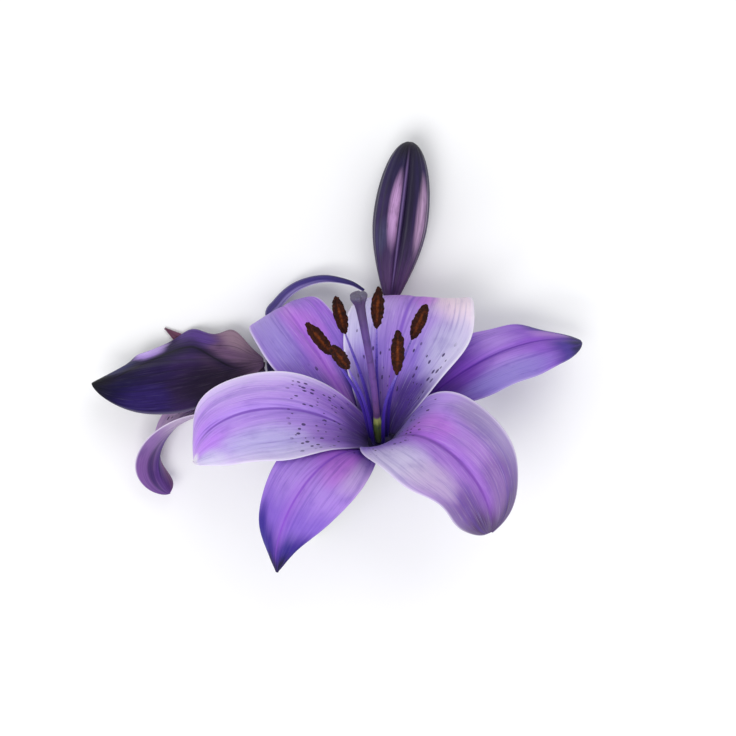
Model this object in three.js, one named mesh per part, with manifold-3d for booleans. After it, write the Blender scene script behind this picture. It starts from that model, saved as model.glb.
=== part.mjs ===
// A cut lily head: an open flower, a half-open side flower, a closed bud and one narrow leaf, all on a
// short cut stem. It lies on its back with +Z up, and its origin is at the bottom centre of its bounding box.
// Lengths are in millimetres and angles in degrees.
import * as THREE from 'three';
import { mergeVertices } from 'three/addons/utils/BufferGeometryUtils.js';
import Module from 'manifold-3d';

const wasm = await Module();
wasm.setup();

// ---- Driving dimensions -------------------------------------------------------------------------------
const PETAL_LENGTH = 96; // inner tepals of the open flower, along the midrib
const PETAL_WIDTH = 50;
const SEPAL_LENGTH = 92; // outer tepals of the open flower
const SEPAL_WIDTH = 37;
const SIDE_PETAL_LENGTH = 74; // the side flower is not full grown
const SIDE_PETAL_WIDTH = 25;
const SIDE_SEPAL_LENGTH = 77;
const SIDE_SEPAL_WIDTH = 30;
const TEPAL_THICKNESS = 1.2; // at the midrib
const TEPAL_EDGE_THICKNESS = 0.8;
const PETAL_RING = 4.6; // distance of the petals' claws from the flower's axis
const SEPAL_RING = 6.2;

const OVARY_RADIUS = 2.1;
const OVARY_LENGTH = 15;
const STYLE_RADIUS = 1.4;
const STYLE_LENGTH = 64;
const STIGMA_RADIUS = 3.6;
const SIDE_STYLE_LENGTH = 46;
const FILAMENT_RADIUS = 0.6;
const FILAMENT_RING = 3;
const FILAMENT_LENGTH = 62;
const SIDE_FILAMENT_LENGTH = 36;
const SIDE_STAMEN_RING = 4.9; // how far the side flower's anthers stand from its axis
const ANTHER_LENGTH = 19;
const ANTHER_WIDTH = 4.8;
const ANTHER_THICKNESS = 3.2;

const STEM_RADIUS = 3.5;
const STALK_RADIUS = 2.1;
const RECEPTACLE_RADIUS = 6.8;
const RECEPTACLE_HEIGHT = 5;
const RECEPTACLE_GAP = 1; // between a receptacle and its flower's base point
const BUD_LENGTH = 76;
const BUD_RADIUS = 12.2;
const BUD_BASE_RADIUS = 2.8;
const BUD_TIP_RADIUS = 1.6;
const BUD_CAP_HEIGHT = 3; // where the bud's stalk widens
const LEAF_WIDTH = 8;
const LEAF_THICKNESS = 1;

const CLEARANCE = 0.3; // between two pieces that touch

// Places on the floor plane are counted from the point under the open flower's base; z is above the floor.
const OPEN_BASE = new THREE.Vector3(0, 0, 34);
const OPEN_AXIS = new THREE.Vector3(-0.06, 0.61, 0.79).normalize();
const SIDE_BASE = new THREE.Vector3(-49, 28, 17.6);
const SIDE_AXIS = new THREE.Vector3(-0.98, -0.15, 0.02).normalize();
const STEM_END = new THREE.Vector3(-33, -39, STEM_RADIUS);
const STEM_TOP = new THREE.Vector3(-9, -6, 8);
const BUD_REACH = 1.2 * PETAL_LENGTH - 61.7; // the back petal arches over the bud's base
const BUD_BASE = new THREE.Vector3(4.4, BUD_REACH, 7.2);
const BUD_AXIS = new THREE.Vector3(0.12, 0.985, 0.125).normalize();
const OPEN_STALK_BEND = new THREE.Vector3(-3, -8, 15.5);
const SIDE_STALK_BEND = new THREE.Vector3(-22, 8, 10);
const BUD_STALK_BENDS = [new THREE.Vector3(-9, 8, 6), new THREE.Vector3(-2, 32, 5)];
const SIDE_STALK_START = 0.3; // how far down the stem a stalk leaves it, as a share of the stem
const BUD_STALK_START = 0.14;
const STALK_STRAIGHT = 11; // the stalk runs straight for this long below a flower

// ---- Colours and finishes -----------------------------------------------------------------------------
const finish = (color, roughness) => new THREE.MeshStandardMaterial({ color, roughness, metalness: 0 });
const PETAL_LAVENDER = finish('#af8ce1', 0.55);
const SIDE_PURPLE = finish('#3a2360', 0.45);
const BUD_VIOLET = finish('#46326e', 0.4);
const FILAMENT_BLUE = finish('#4632aa', 0.4);
const ANTHER_BROWN = finish('#522a14', 0.95);
const PISTIL_PURPLE = finish('#5a3782', 0.45);
const STALK_GREEN = finish('#5a6e32', 0.5);
const LEAF_PURPLE = finish('#4a3078', 0.5);

// ---- Helpers ------------------------------------------------------------------------------------------
const radians = THREE.MathUtils.degToRad;
const lerp = THREE.MathUtils.lerp;
const step = (point, direction, distance) => point.clone().addScaledVector(direction, distance);

// A geometry with its shared corners merged, so that it is one closed skin.
function welded(geometry) {
  geometry.deleteAttribute('normal');
  geometry.deleteAttribute('uv');
  return mergeVertices(geometry, 1e-4);
}

function solidOf(geometry) {
  const skin = welded(geometry);
  const vertProperties = new Float32Array(skin.attributes.position.array);
  const triVerts = new Uint32Array(skin.index.array);
  return new wasm.Manifold(new wasm.Mesh({ numProp: 3, vertProperties, triVerts }));
}

function geometryOf(solid) {
  const mesh = solid.getMesh();
  const geometry = new THREE.BufferGeometry();
  geometry.setAttribute('position', new THREE.BufferAttribute(mesh.vertProperties, mesh.numProp));
  geometry.setIndex(new THREE.BufferAttribute(mesh.triVerts, 1));
  geometry.computeVertexNormals();
  return geometry;
}

// A piece cut clear of its neighbours. What the cut leaves loose is trimmed away with it.
function cutClear(piece, neighbours) {
  let rest = piece;
  for (const neighbour of neighbours) rest = rest.subtract(neighbour);
  const parts = rest.decompose();
  parts.sort((first, second) => second.volume() - first.volume());
  return parts[0];
}

// A box of unit size in a grid of cells, whose corners are moved to place(across, along, through):
// across runs from -1 to 1, along from 0 to 1, and through is -1 on the inner face and 1 on the outer.
function bentSheet(cellsAcross, cellsAlong, place) {
  const box = welded(new THREE.BoxGeometry(2, 1, 2, cellsAcross, cellsAlong, 1));
  const corners = box.attributes.position;
  for (let i = 0; i < corners.count; i += 1) {
    const moved = place(corners.getX(i), corners.getY(i) + 0.5, corners.getZ(i));
    corners.setXYZ(i, moved.x, moved.y, moved.z);
  }
  return box;
}

// A round rod along a curve through the given points.
function rod(points, radius, steps, sides) {
  const section = new THREE.Shape();
  for (let i = 0; i < sides; i += 1) {
    const angle = (2 * Math.PI * i) / sides;
    const corner = [radius * Math.cos(angle), radius * Math.sin(angle)];
    if (i === 0) section.moveTo(...corner);
    else section.lineTo(...corner);
  }
  section.closePath();
  const extrudePath = new THREE.CatmullRomCurve3(points);
  return new THREE.ExtrudeGeometry(section, { steps, extrudePath, bevelEnabled: false });
}

// A turned shape whose axis of turning points along the given direction from the given place.
function turned(profile, sides, place, direction) {
  const geometry = new THREE.LatheGeometry(profile.map(([r, h]) => new THREE.Vector2(r, h)), sides);
  const upright = new THREE.Vector3(0, 1, 0);
  geometry.applyQuaternion(new THREE.Quaternion().setFromUnitVectors(upright, direction));
  return geometry.translate(place.x, place.y, place.z);
}

// ---- Flowers ------------------------------------------------------------------------------------------
// A flower's base, its axis and the two directions at right angles to it that azimuths are counted from.
function flowerFrame(base, axis, towards) {
  const start = step(towards, axis, -towards.dot(axis)).normalize();
  return { base, axis, start, side: axis.clone().cross(start) };
}

function outwards(flower, azimuth) {
  const angle = radians(azimuth);
  return flower.start.clone().multiplyScalar(Math.cos(angle)).addScaledVector(flower.side, Math.sin(angle));
}

const openFlower = flowerFrame(OPEN_BASE, OPEN_AXIS, new THREE.Vector3(1, 0, 0));
const sideFlower = flowerFrame(SIDE_BASE, SIDE_AXIS, new THREE.Vector3(0, 0, 1));

// How each tepal leaves the flower. azimuth: round the axis. opening: from the axis at the claw.
// curl: how far it bends back over its length, late when ease is high. sweep: sideways bend.
// roll and twist: turn of the blade about the midrib, all along and growing to the tip.
// claw: cup of the blade at the claw; cup: at the tip, negative where the margins bend back.
// widest: share of the length. blunt: low for a round tip. skew: more blade on one side.
// base: the claw's share of the width. rush: low where the blade widens early.
// longer and wider: this tepal's difference from its whorl's length and width.
const OPEN_PETALS = {
  open_petal_left: { azimuth: 184, opening: 35, curl: 139, ease: 1.85, sweep: 15, roll: -10, twist: 0,
    claw: 55, cup: -9, widest: 0.51, blunt: 0.6, skew: 0.27, longer: 2, wider: -6 },
  open_petal_back: { azimuth: 73, opening: 40, curl: 152, ease: 2.8, sweep: 0, roll: -3, twist: -3,
    claw: 52, cup: -26, widest: 0.56, blunt: 0.5, skew: -0.08, longer: -16, wider: 3 },
  open_petal_front: { azimuth: 322, opening: 24, curl: 152, ease: 1.35, sweep: -20, roll: -8, twist: 12,
    claw: 50, cup: -8, widest: 0.42, blunt: 0.5, skew: -0.08, longer: -7, wider: 3 },
};
const OPEN_SEPALS = {
  open_sepal_back: { azimuth: 135, opening: 46, curl: 132, ease: 2.9, sweep: -26, roll: 8, twist: 2,
    claw: 50, cup: -15, widest: 0.44, blunt: 0.6, skew: 0.17, longer: -8, wider: 6 },
  open_sepal_right: { azimuth: 30, opening: 52, curl: 78, ease: 1.4, sweep: -12, roll: -8, twist: 2,
    claw: 45, cup: -40, widest: 0.48, blunt: 0.6, skew: -0.1, longer: 8, wider: -1 },
  open_sepal_front: { azimuth: 233, opening: 38, curl: 134, ease: 1.7, sweep: 12, roll: -5, twist: -4,
    claw: 52, cup: -60, widest: 0.46, blunt: 0.9, skew: 0.1, longer: 0, wider: -1 },
};
const SIDE_PETALS = {
  side_petal_upper: { azimuth: 60, opening: 8, curl: -4, ease: 1, sweep: 0, roll: 0, twist: 0,
    claw: 60, cup: 60, widest: 0.5, blunt: 0.8, skew: 0, longer: -32, wider: -7 },
  side_petal_lower: { azimuth: -134, opening: 10, curl: 148, ease: 3.65, sweep: 52, roll: -13, twist: 54,
    claw: 34, cup: 52, widest: 0.466, blunt: 0.67, skew: 0.16, longer: 5, wider: 6, base: 0.3, rush: 2.83 },
  side_petal_under: { azimuth: 180, opening: 8, curl: -4, ease: 1, sweep: 0, roll: 0, twist: 0,
    claw: 60, cup: 60, widest: 0.5, blunt: 0.8, skew: 0, longer: -26, wider: -7 },
};
const SIDE_SEPALS = {
  side_sepal_upper: { azimuth: 55.6, opening: 9, curl: -29, ease: 2.1, sweep: 7.6, roll: -28, twist: 36,
    claw: 0.2, cup: 58, widest: 0.547, blunt: 0.77, skew: -0.02, longer: -1, wider: 17, base: 0.24, rush: 0.86 },
  side_sepal_under: { azimuth: 145, opening: 28, curl: 4, ease: 2.3, sweep: -36, roll: 48, twist: -19,
    claw: 30, cup: 10, widest: 0.45, blunt: 0.95, skew: 0, longer: -27, wider: -15, base: 0.35 },
  side_sepal_lower: { azimuth: -100, opening: 6, curl: -4, ease: 1, sweep: 0, roll: 0, twist: 0,
    claw: 60, cup: 60, widest: 0.5, blunt: 0.8, skew: 0, longer: -31, wider: -12 },
};
const CLAW_SHARE = 0.2; // the claw's width as a share of the blade's, where a tepal states no base
const TIP_HALF_WIDTH = 0.6;

// Half the blade's width at a share of its length: a narrow claw, a widest place and a rounded tip.
function bladeHalfWidth(share, width, shape) {
  const rise = Math.sin((Math.PI / 2) * Math.min(share / shape.widest, 1)) ** (shape.rush || 1.5);
  const past = Math.max((share - shape.widest) / (1 - shape.widest), 0);
  const fall = (1 - past ** 2.2) ** shape.blunt;
  return Math.max((width / 2) * lerp(shape.base || CLAW_SHARE, 1, rise) * fall, TIP_HALF_WIDTH);
}

// The blade's frame at evenly spaced ribs: its place, the direction across it and its inner face's normal.
function tepalRibs(flower, shape, ring, length, count) {
  const out = outwards(flower, shape.azimuth);
  const opening = radians(shape.opening);
  const first = flower.axis.clone().multiplyScalar(Math.cos(opening)).addScaledVector(out, Math.sin(opening));
  const face = flower.axis.clone().multiplyScalar(Math.sin(opening)).addScaledVector(out, -Math.cos(opening));
  const sideways = face.clone().cross(first);
  const place = step(flower.base, out, ring);
  const ribs = [];
  let before = null;
  for (let i = 0; i <= count; i += 1) {
    const share = i / count;
    const curl = radians(shape.curl) * share ** shape.ease;
    const sweep = radians(shape.sweep) * share ** 1.5;
    const turn = radians(shape.roll + shape.twist * share);
    const ahead = first.clone().multiplyScalar(Math.cos(curl)).addScaledVector(face, -Math.sin(curl));
    const tangent = ahead.clone().multiplyScalar(Math.cos(sweep)).addScaledVector(sideways, Math.sin(sweep));
    const flat = sideways.clone().multiplyScalar(Math.cos(sweep)).addScaledVector(ahead, -Math.sin(sweep));
    const normal = first.clone().multiplyScalar(Math.sin(curl)).addScaledVector(face, Math.cos(curl));
    if (before) place.addScaledVector(tangent.clone().add(before), length / count / 2);
    before = tangent;
    ribs.push({
      place: place.clone(),
      across: flat.clone().multiplyScalar(Math.cos(turn)).addScaledVector(normal, Math.sin(turn)),
      normal: normal.clone().multiplyScalar(Math.cos(turn)).addScaledVector(flat, -Math.sin(turn)),
    });
  }
  return ribs;
}

// A tepal: a thin blade whose cross-section is an arc. grown makes it thicker and wider, to cut others clear.
function tepal(flower, shape, ring, length, width, cells, grown = 0) {
  const [cellsAcross, cellsAlong] = cells;
  const ribs = tepalRibs(flower, shape, ring, length, cellsAlong);
  return bentSheet(cellsAcross, cellsAlong, (across, along, through) => {
    const rib = ribs[Math.round(along * cellsAlong)];
    const half = bladeHalfWidth(along, width, shape) + grown;
    const bow = radians(lerp(shape.claw, shape.cup, along)) || 0.001;
    const reach = across * (1 + Math.sign(across) * shape.skew * Math.sin(Math.PI * along));
    const angle = bow * reach;
    const inner = rib.normal.clone().multiplyScalar(Math.cos(angle)).addScaledVector(rib.across, -Math.sin(angle));
    const thickness = lerp(TEPAL_THICKNESS, TEPAL_EDGE_THICKNESS, Math.abs(across)) + 2 * grown;
    return rib.place.clone()
      .addScaledVector(rib.across, (half * Math.sin(angle)) / bow)
      .addScaledVector(rib.normal, (half * (1 - Math.cos(angle))) / bow)
      .addScaledVector(inner, (-through * thickness) / 2);
  });
}

// Three petals, and three sepals outside them that are cut clear of the petals.
function perianth(flower, petals, sepals, sizes) {
  const pieces = {};
  const cutters = [];
  for (const [name, shape] of Object.entries(petals)) {
    const length = sizes.petalLength + shape.longer;
    const width = sizes.petalWidth + shape.wider;
    const blade = (grown) => solidOf(tepal(flower, shape, PETAL_RING, length, width, sizes.cells, grown));
    pieces[name] = cutClear(blade(0), cutters);
    cutters.push(blade(CLEARANCE));
  }
  for (const [name, shape] of Object.entries(sepals)) {
    const length = sizes.sepalLength + shape.longer;
    const width = sizes.sepalWidth + shape.wider;
    const blade = (grown) => solidOf(tepal(flower, shape, SEPAL_RING, length, width, sizes.cells, grown));
    pieces[name] = cutClear(blade(0), cutters);
    cutters.push(blade(CLEARANCE));
  }
  return pieces;
}

const openPerianth = perianth(openFlower, OPEN_PETALS, OPEN_SEPALS, { petalLength: PETAL_LENGTH,
  petalWidth: PETAL_WIDTH, sepalLength: SEPAL_LENGTH, sepalWidth: SEPAL_WIDTH, cells: [6, 12] });
const sidePerianth = perianth(sideFlower, SIDE_PETALS, SIDE_SEPALS, { petalLength: SIDE_PETAL_LENGTH,
  petalWidth: SIDE_PETAL_WIDTH, sepalLength: SIDE_SEPAL_LENGTH, sepalWidth: SIDE_SEPAL_WIDTH, cells: [6, 10] });

// ---- Stamens and pistils ------------------------------------------------------------------------------
// Each filament starts in the ring round the ovary, runs along the flower's axis and then leans to its own
// direction. tip is that direction from the flower's base, and lean is the anther's.
const OPEN_STAMENS = [
  { name: 'back_left', azimuth: 120, tip: [-0.22, 0.7, 0.68], lean: [-0.21, 0.8, 0.55] },
  { name: 'left', azimuth: 168, tip: [-0.29, 0.56, 0.77], lean: [-0.57, 0.7, 0.42] },
  { name: 'front_left', azimuth: 228, tip: [-0.19, 0.475, 0.86], lean: [-0.38, 0.51, 0.77] },
  { name: 'back', azimuth: 84, tip: [-0.02, 0.73, 0.68], lean: [0.04, 0.92, 0.4] },
  { name: 'front_right', azimuth: 300, tip: [0.11, 0.43, 0.895], lean: [0.02, 0.97, 0.2] },
  { name: 'right', azimuth: 24, tip: [0.2, 0.66, 0.72], lean: [0.32, 0.76, 0.56] },
];

function stamen(prefix, flower, spec, length, facing) {
  const foot = step(flower.base, outwards(flower, spec.azimuth), FILAMENT_RING);
  const tipDirection = new THREE.Vector3(...spec.tip).normalize();
  const tip = step(flower.base, tipDirection, length);
  const middle = step(foot, flower.axis, length * 0.5).lerp(step(foot, tipDirection, length * 0.5), 0.6);
  add(`${prefix}_filament_${spec.name}`, rod([foot, middle, tip], FILAMENT_RADIUS, 5, 6), FILAMENT_BLUE);

  const lean = new THREE.Vector3(...spec.lean).normalize();
  const front = step(facing, lean, -facing.dot(lean)).normalize();
  const centre = step(tip, lean, ANTHER_LENGTH / 2 + FILAMENT_RADIUS + CLEARANCE);
  const anther = new THREE.SphereGeometry(0.5, 8, 6);
  anther.scale(ANTHER_WIDTH, ANTHER_LENGTH, ANTHER_THICKNESS);
  const turn = new THREE.Matrix4().makeBasis(lean.clone().cross(front), lean, front).setPosition(centre);
  add(`${prefix}_anther_${spec.name}`, anther.applyMatrix4(turn), ANTHER_BROWN);
}

// A pistil is one grown piece: a ribbed ovary, a style that bends away from the axis, and a lobed stigma.
function pistil(name, flower, styleLength, tipDirection) {
  const { base, axis } = flower;
  const ovary = turned([[0, 0], [OVARY_RADIUS * 0.8, 0], [OVARY_RADIUS, 2], [OVARY_RADIUS, OVARY_LENGTH - 4],
    [STYLE_RADIUS, OVARY_LENGTH], [0, OVARY_LENGTH]], 10, base, axis);
  const foot = step(base, axis, OVARY_LENGTH - 2);
  const tip = step(base, new THREE.Vector3(...tipDirection).normalize(), OVARY_LENGTH + styleLength);
  const bend = step(foot, axis, styleLength * 0.45);
  const path = [foot, bend, tip];
  const head = tip.clone().sub(bend).normalize();
  const stigma = turned([[0, -2], [STYLE_RADIUS, -2], [STIGMA_RADIUS, 1.2], [STIGMA_RADIUS * 0.8, 2.4],
    [0, 2]], 9, tip, head);
  const style = solidOf(rod(path, STYLE_RADIUS, 8, 8));
  add(name, geometryOf(solidOf(ovary).add(style).add(solidOf(stigma))), PISTIL_PURPLE);
}

// ---- Stem, stalks, bud and leaf -----------------------------------------------------------------------
const stemPath = [STEM_END, STEM_END.clone().lerp(STEM_TOP, 0.5).add(new THREE.Vector3(2, -1, 0)), STEM_TOP];
const stemCutter = solidOf(rod(stemPath, STEM_RADIUS + CLEARANCE, 8, 12));

// A flower stalk grows from the stem's top and widens into the receptacle that carries the flower.
function stalk(points, neighbours, top, direction, radius, height) {
  const receptacle = turned([[0, -height], [STALK_RADIUS, -height], [radius, -1.5], [radius, 0], [0, 0]],
    12, top, direction);
  const pathEnd = step(top, direction, 1 - height);
  const whole = solidOf(rod([...points, pathEnd], STALK_RADIUS, 14, 8)).add(solidOf(receptacle));
  return cutClear(whole, neighbours);
}

// The bud's radius at a share of its length: it swells past the middle and ends in a blunt tip.
function budRadius(share) {
  const swell = Math.sin(Math.PI * share ** 1.23);
  return Math.max(BUD_RADIUS * swell ** (share < 0.57 ? 0.8 : 0.5), lerp(BUD_BASE_RADIUS, BUD_TIP_RADIUS, share));
}

const budFrame = flowerFrame(BUD_BASE, BUD_AXIS, new THREE.Vector3(0, 0, 1));
const BUD_INNER_STEP = 1.5; // how far the inner tepals lie inside the outer ones
const BUD_SHEET = 1.1;
const BUD_SEPAL_HALF_ANGLE = 54;
const BUD_PETAL_HALF_ANGLE = 50;

function budTepal(azimuth, inset, halfAngle) {
  return bentSheet(6, 10, (across, along, through) => {
    const radius = Math.max(budRadius(along) - inset - ((1 - through) * BUD_SHEET) / 2, 0.5);
    const angle = azimuth + across * halfAngle;
    const inside = inset * 0.8;
    const height = lerp(inside, BUD_LENGTH - inside, along) - (1 - through) * 0.2 * along;
    return step(step(BUD_BASE, BUD_AXIS, height), outwards(budFrame, angle), radius);
  });
}

// A narrow leaf that lies on its edge: its blade stands across the curve of its midrib.
const LEAF_PATH = [[-15, 0, 5], [-31, 28, 5], [-48, 52, 5], [-45.5, 59.5, 6], [-37, 67, 8], [-25, 70.5, 9],
  [-13, 68.5, 10], [-6, 64.5, 11]];

function leaf() {
  const curve = new THREE.CatmullRomCurve3(LEAF_PATH.map((point) => new THREE.Vector3(...point)));
  const up = new THREE.Vector3(0, 0, 1);
  return bentSheet(2, 18, (across, along, through) => {
    const tangent = curve.getTangentAt(along);
    const normal = tangent.clone().cross(up).normalize();
    const blade = up.clone().applyAxisAngle(tangent, radians(30));
    const half = (LEAF_WIDTH / 2) * Math.max(Math.sin(Math.PI * lerp(0.14, 0.97, along)) ** 0.7, 0.15);
    const fold = 0.25 * half * Math.abs(across);
    return step(step(curve.getPointAt(along), blade, across * half), normal,
      fold - (through * LEAF_THICKNESS) / 2);
  });
}

// ---- Assembly -----------------------------------------------------------------------------------------
const lily = new THREE.Group();

function add(name, geometry, material) {
  const mesh = new THREE.Mesh(geometry, material);
  mesh.name = name;
  lily.add(mesh);
}

for (const [name, solid] of Object.entries(openPerianth)) add(name, geometryOf(solid), PETAL_LAVENDER);
for (const [name, solid] of Object.entries(sidePerianth)) add(name, geometryOf(solid), SIDE_PURPLE);
for (const spec of OPEN_STAMENS) stamen('open', openFlower, spec, FILAMENT_LENGTH, new THREE.Vector3(0, 0, 1));
for (let i = 0; i < 6; i += 1) {
  const azimuth = 30 + 60 * i;
  const out = outwards(sideFlower, azimuth);
  const tip = step(sideFlower.axis, out, SIDE_STAMEN_RING / SIDE_FILAMENT_LENGTH).toArray();
  const spec = { name: i + 1, azimuth, tip, lean: SIDE_AXIS.toArray() };
  stamen('side', sideFlower, spec, SIDE_FILAMENT_LENGTH, out);
}
pistil('open_pistil', openFlower, STYLE_LENGTH, [-0.11, 0.77, 0.63]);
pistil('side_pistil', sideFlower, SIDE_STYLE_LENGTH, SIDE_AXIS.toArray());

add('stem', rod(stemPath, STEM_RADIUS, 8, 12), STALK_GREEN);
const stemPoint = (share) => STEM_TOP.clone().lerp(STEM_END, share);
const openTop = step(OPEN_BASE, OPEN_AXIS, -RECEPTACLE_GAP);
const openStraight = step(OPEN_BASE, OPEN_AXIS, -STALK_STRAIGHT);
const openStalk = stalk([STEM_TOP, OPEN_STALK_BEND, openStraight], [stemCutter], openTop, OPEN_AXIS,
  RECEPTACLE_RADIUS, RECEPTACLE_HEIGHT);
add('open_flower_stalk', geometryOf(openStalk), STALK_GREEN);
const sideTop = step(SIDE_BASE, SIDE_AXIS, -RECEPTACLE_GAP);
const sideStraight = step(SIDE_BASE, SIDE_AXIS, -STALK_STRAIGHT);
const sideStalk = stalk([stemPoint(SIDE_STALK_START), SIDE_STALK_BEND, sideStraight], [stemCutter], sideTop,
  SIDE_AXIS, RECEPTACLE_RADIUS, RECEPTACLE_HEIGHT);
add('side_flower_stalk', geometryOf(sideStalk), STALK_GREEN);
const budTop = step(BUD_BASE, BUD_AXIS, -RECEPTACLE_GAP);
const budStalk = stalk([stemPoint(BUD_STALK_START), ...BUD_STALK_BENDS], [stemCutter], budTop, BUD_AXIS,
  BUD_BASE_RADIUS, BUD_CAP_HEIGHT);
add('bud_stalk', geometryOf(budStalk), STALK_GREEN);
for (let i = 0; i < 3; i += 1) {
  add(`bud_sepal_${i + 1}`, budTepal(60 + 120 * i, 0, BUD_SEPAL_HALF_ANGLE), BUD_VIOLET);
  add(`bud_petal_${i + 1}`, budTepal(120 * i, BUD_INNER_STEP, BUD_PETAL_HALF_ANGLE), BUD_VIOLET);
}
add('bract_leaf', leaf(), LEAF_PURPLE);

// The origin is the bottom centre of everything.
lily.updateMatrixWorld(true);
const box = new THREE.Box3().setFromObject(lily, true);
const middle = box.getCenter(new THREE.Vector3());
lily.position.set(-middle.x, -middle.y, -box.min.z);

export default lily;
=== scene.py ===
# %% [markdown]
# # A cut lily
# It lies on a white table: one open flower with six tepals that bend back, a side flower that is still half
# closed, a closed bud and one narrow leaf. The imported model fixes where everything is. This lesson grows the
# fine surface of each piece around it, one kind of piece at a time.

# %% The fixed frame
import math

import bpy
import numpy as np
from mathutils import Matrix, Vector


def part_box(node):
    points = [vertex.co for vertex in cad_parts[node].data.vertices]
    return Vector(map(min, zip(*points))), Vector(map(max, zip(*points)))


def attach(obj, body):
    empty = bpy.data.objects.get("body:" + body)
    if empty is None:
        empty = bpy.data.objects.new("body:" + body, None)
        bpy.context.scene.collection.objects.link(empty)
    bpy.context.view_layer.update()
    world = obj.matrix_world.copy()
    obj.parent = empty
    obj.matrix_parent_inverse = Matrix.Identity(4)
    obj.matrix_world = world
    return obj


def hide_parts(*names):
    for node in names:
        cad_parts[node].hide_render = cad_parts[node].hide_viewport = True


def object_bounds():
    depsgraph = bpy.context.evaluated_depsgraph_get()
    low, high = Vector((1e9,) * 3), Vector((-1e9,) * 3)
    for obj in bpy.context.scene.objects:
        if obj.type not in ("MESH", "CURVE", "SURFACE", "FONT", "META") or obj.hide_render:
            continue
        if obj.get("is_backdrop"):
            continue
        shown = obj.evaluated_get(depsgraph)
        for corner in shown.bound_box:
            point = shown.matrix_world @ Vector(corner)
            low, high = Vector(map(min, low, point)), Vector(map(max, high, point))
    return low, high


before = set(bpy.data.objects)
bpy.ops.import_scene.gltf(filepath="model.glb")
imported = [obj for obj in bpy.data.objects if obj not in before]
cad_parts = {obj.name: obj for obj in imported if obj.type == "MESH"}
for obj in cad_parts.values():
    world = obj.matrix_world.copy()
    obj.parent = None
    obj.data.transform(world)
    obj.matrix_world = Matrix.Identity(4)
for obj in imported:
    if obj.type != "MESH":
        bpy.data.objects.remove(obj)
cad_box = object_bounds()
print("nodes in the frame:", len(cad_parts))
print("its box in mm:", [round(1000 * (high - low), 1) for low, high in zip(*cad_box)])

# %% [markdown]
# ## Finding places in the frame
# Nothing is placed by eye. A stalk's or a style's flat end in the frame gives the point where a flower
# begins, and the middle of a node's box gives the place of an anther. All lengths are in millimetres until
# they are multiplied by MM, because Blender's unit here is the metre.

# %% Lengths and places
MM = 0.001
FLAT_END = 0.1 * MM  # corners this close to the furthest one belong to the same flat end


def corners_of(node):
    return np.array([corner.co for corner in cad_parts[node].data.vertices])


def end_of(node, direction):
    """The middle of a node's flat end that lies furthest in a direction."""
    corners = corners_of(node)
    reach = corners @ np.array(direction)
    end = corners[reach > reach.max() - FLAT_END]
    return Vector((end.min(0) + end.max(0)) / 2)


def middle_of(node):
    low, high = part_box(node)
    return (low + high) / 2


RECEPTACLE_GAP = 1 * MM  # between a receptacle's flat top and the flower's base point
OPEN_AXIS = Vector((-0.06, 0.61, 0.79)).normalized()
SIDE_AXIS = Vector((-0.98, -0.15, 0.02)).normalized()
BUD_AXIS = Vector((0.12, 0.985, 0.125)).normalized()
open_base = end_of("open_flower_stalk", OPEN_AXIS) + OPEN_AXIS * RECEPTACLE_GAP
side_base = end_of("side_flower_stalk", SIDE_AXIS) + SIDE_AXIS * RECEPTACLE_GAP
bud_base = end_of("bud_stalk", BUD_AXIS) + BUD_AXIS * RECEPTACLE_GAP
for name, place in (("open flower", open_base), ("side flower", side_base), ("bud", bud_base)):
    print(name, "begins at", [round(part / MM, 1) for part in place])

# %% [markdown]
# ## The table, the light and the camera
# The lily lies on a plain white table under a large soft light, as in a studio. One big lamp stands above
# and a little in front, so that the cupped tepals shade their own throats, and the pale sky fills the rest.
# The camera looks straight down. A long lens keeps the far tips from shrinking.

# %% Camera
CAMERA_HEIGHT = 904 * MM
CAMERA_OFFSET = Vector((-4.7, 30.6, 0)) * MM  # from the point above the open flower's base
camera_place = Vector((open_base.x, open_base.y, CAMERA_HEIGHT)) + CAMERA_OFFSET
bpy.ops.object.camera_add(location=camera_place, rotation=(0, 0, 0))
camera = bpy.context.object
camera.data.lens = 100
camera.data.sensor_width = 36
bpy.context.scene.camera = camera
bpy.context.scene.view_settings.view_transform = "Standard"
print("camera", round(camera_place.z / MM), "mm above the table")

# %% Table and light
TABLE_SIZE = 6  # in metres, wider than the camera sees
SKY_STRENGTH = 0.62

bpy.ops.mesh.primitive_plane_add(size=TABLE_SIZE, location=(0, 0, 0))
table = bpy.context.object
table.name = "table"
table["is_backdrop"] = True


def lamp(name, place, size, power):
    """A square soft light that looks from place, in metres, at the middle of the table."""
    bpy.ops.object.light_add(type="AREA", location=place)
    light = bpy.context.object
    light.name = name
    light.data.size = size
    light.data.energy = power
    light.rotation_euler = (-Vector(place)).to_track_quat("-Z", "Y").to_euler()


lamp("soft_box", (-0.35, -0.7, 1.5), 0.9, 15)
lamp("top_light", (0.5, 0.9, 1.6), 1.0, 5)
sky = bpy.data.worlds.new("pale_sky")
sky.use_nodes = True
sky.node_tree.nodes["Background"].inputs["Color"].default_value = (0.97, 0.98, 1.0, 1)
sky.node_tree.nodes["Background"].inputs["Strength"].default_value = SKY_STRENGTH
bpy.context.scene.world = sky

# %% [markdown]
# ## A bench for mixing finishes
# Every finish here is grown from the same few moves: take a measure of the surface, turn it into a mask,
# and lay a colour over what is there through that mask. The bench wraps those moves, so that a finish reads
# like a painter's list. Colours are written as they look on a screen and changed to linear light.

# %% The bench
def hue(code):
    """A colour written as six hex digits, in linear light."""
    shares = [int(code[i:i + 2], 16) / 255 for i in (0, 2, 4)]
    linear = [((s + 0.055) / 1.055) ** 2.4 if s > 0.04045 else s / 12.92 for s in shares]
    return (*linear, 1)


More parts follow.
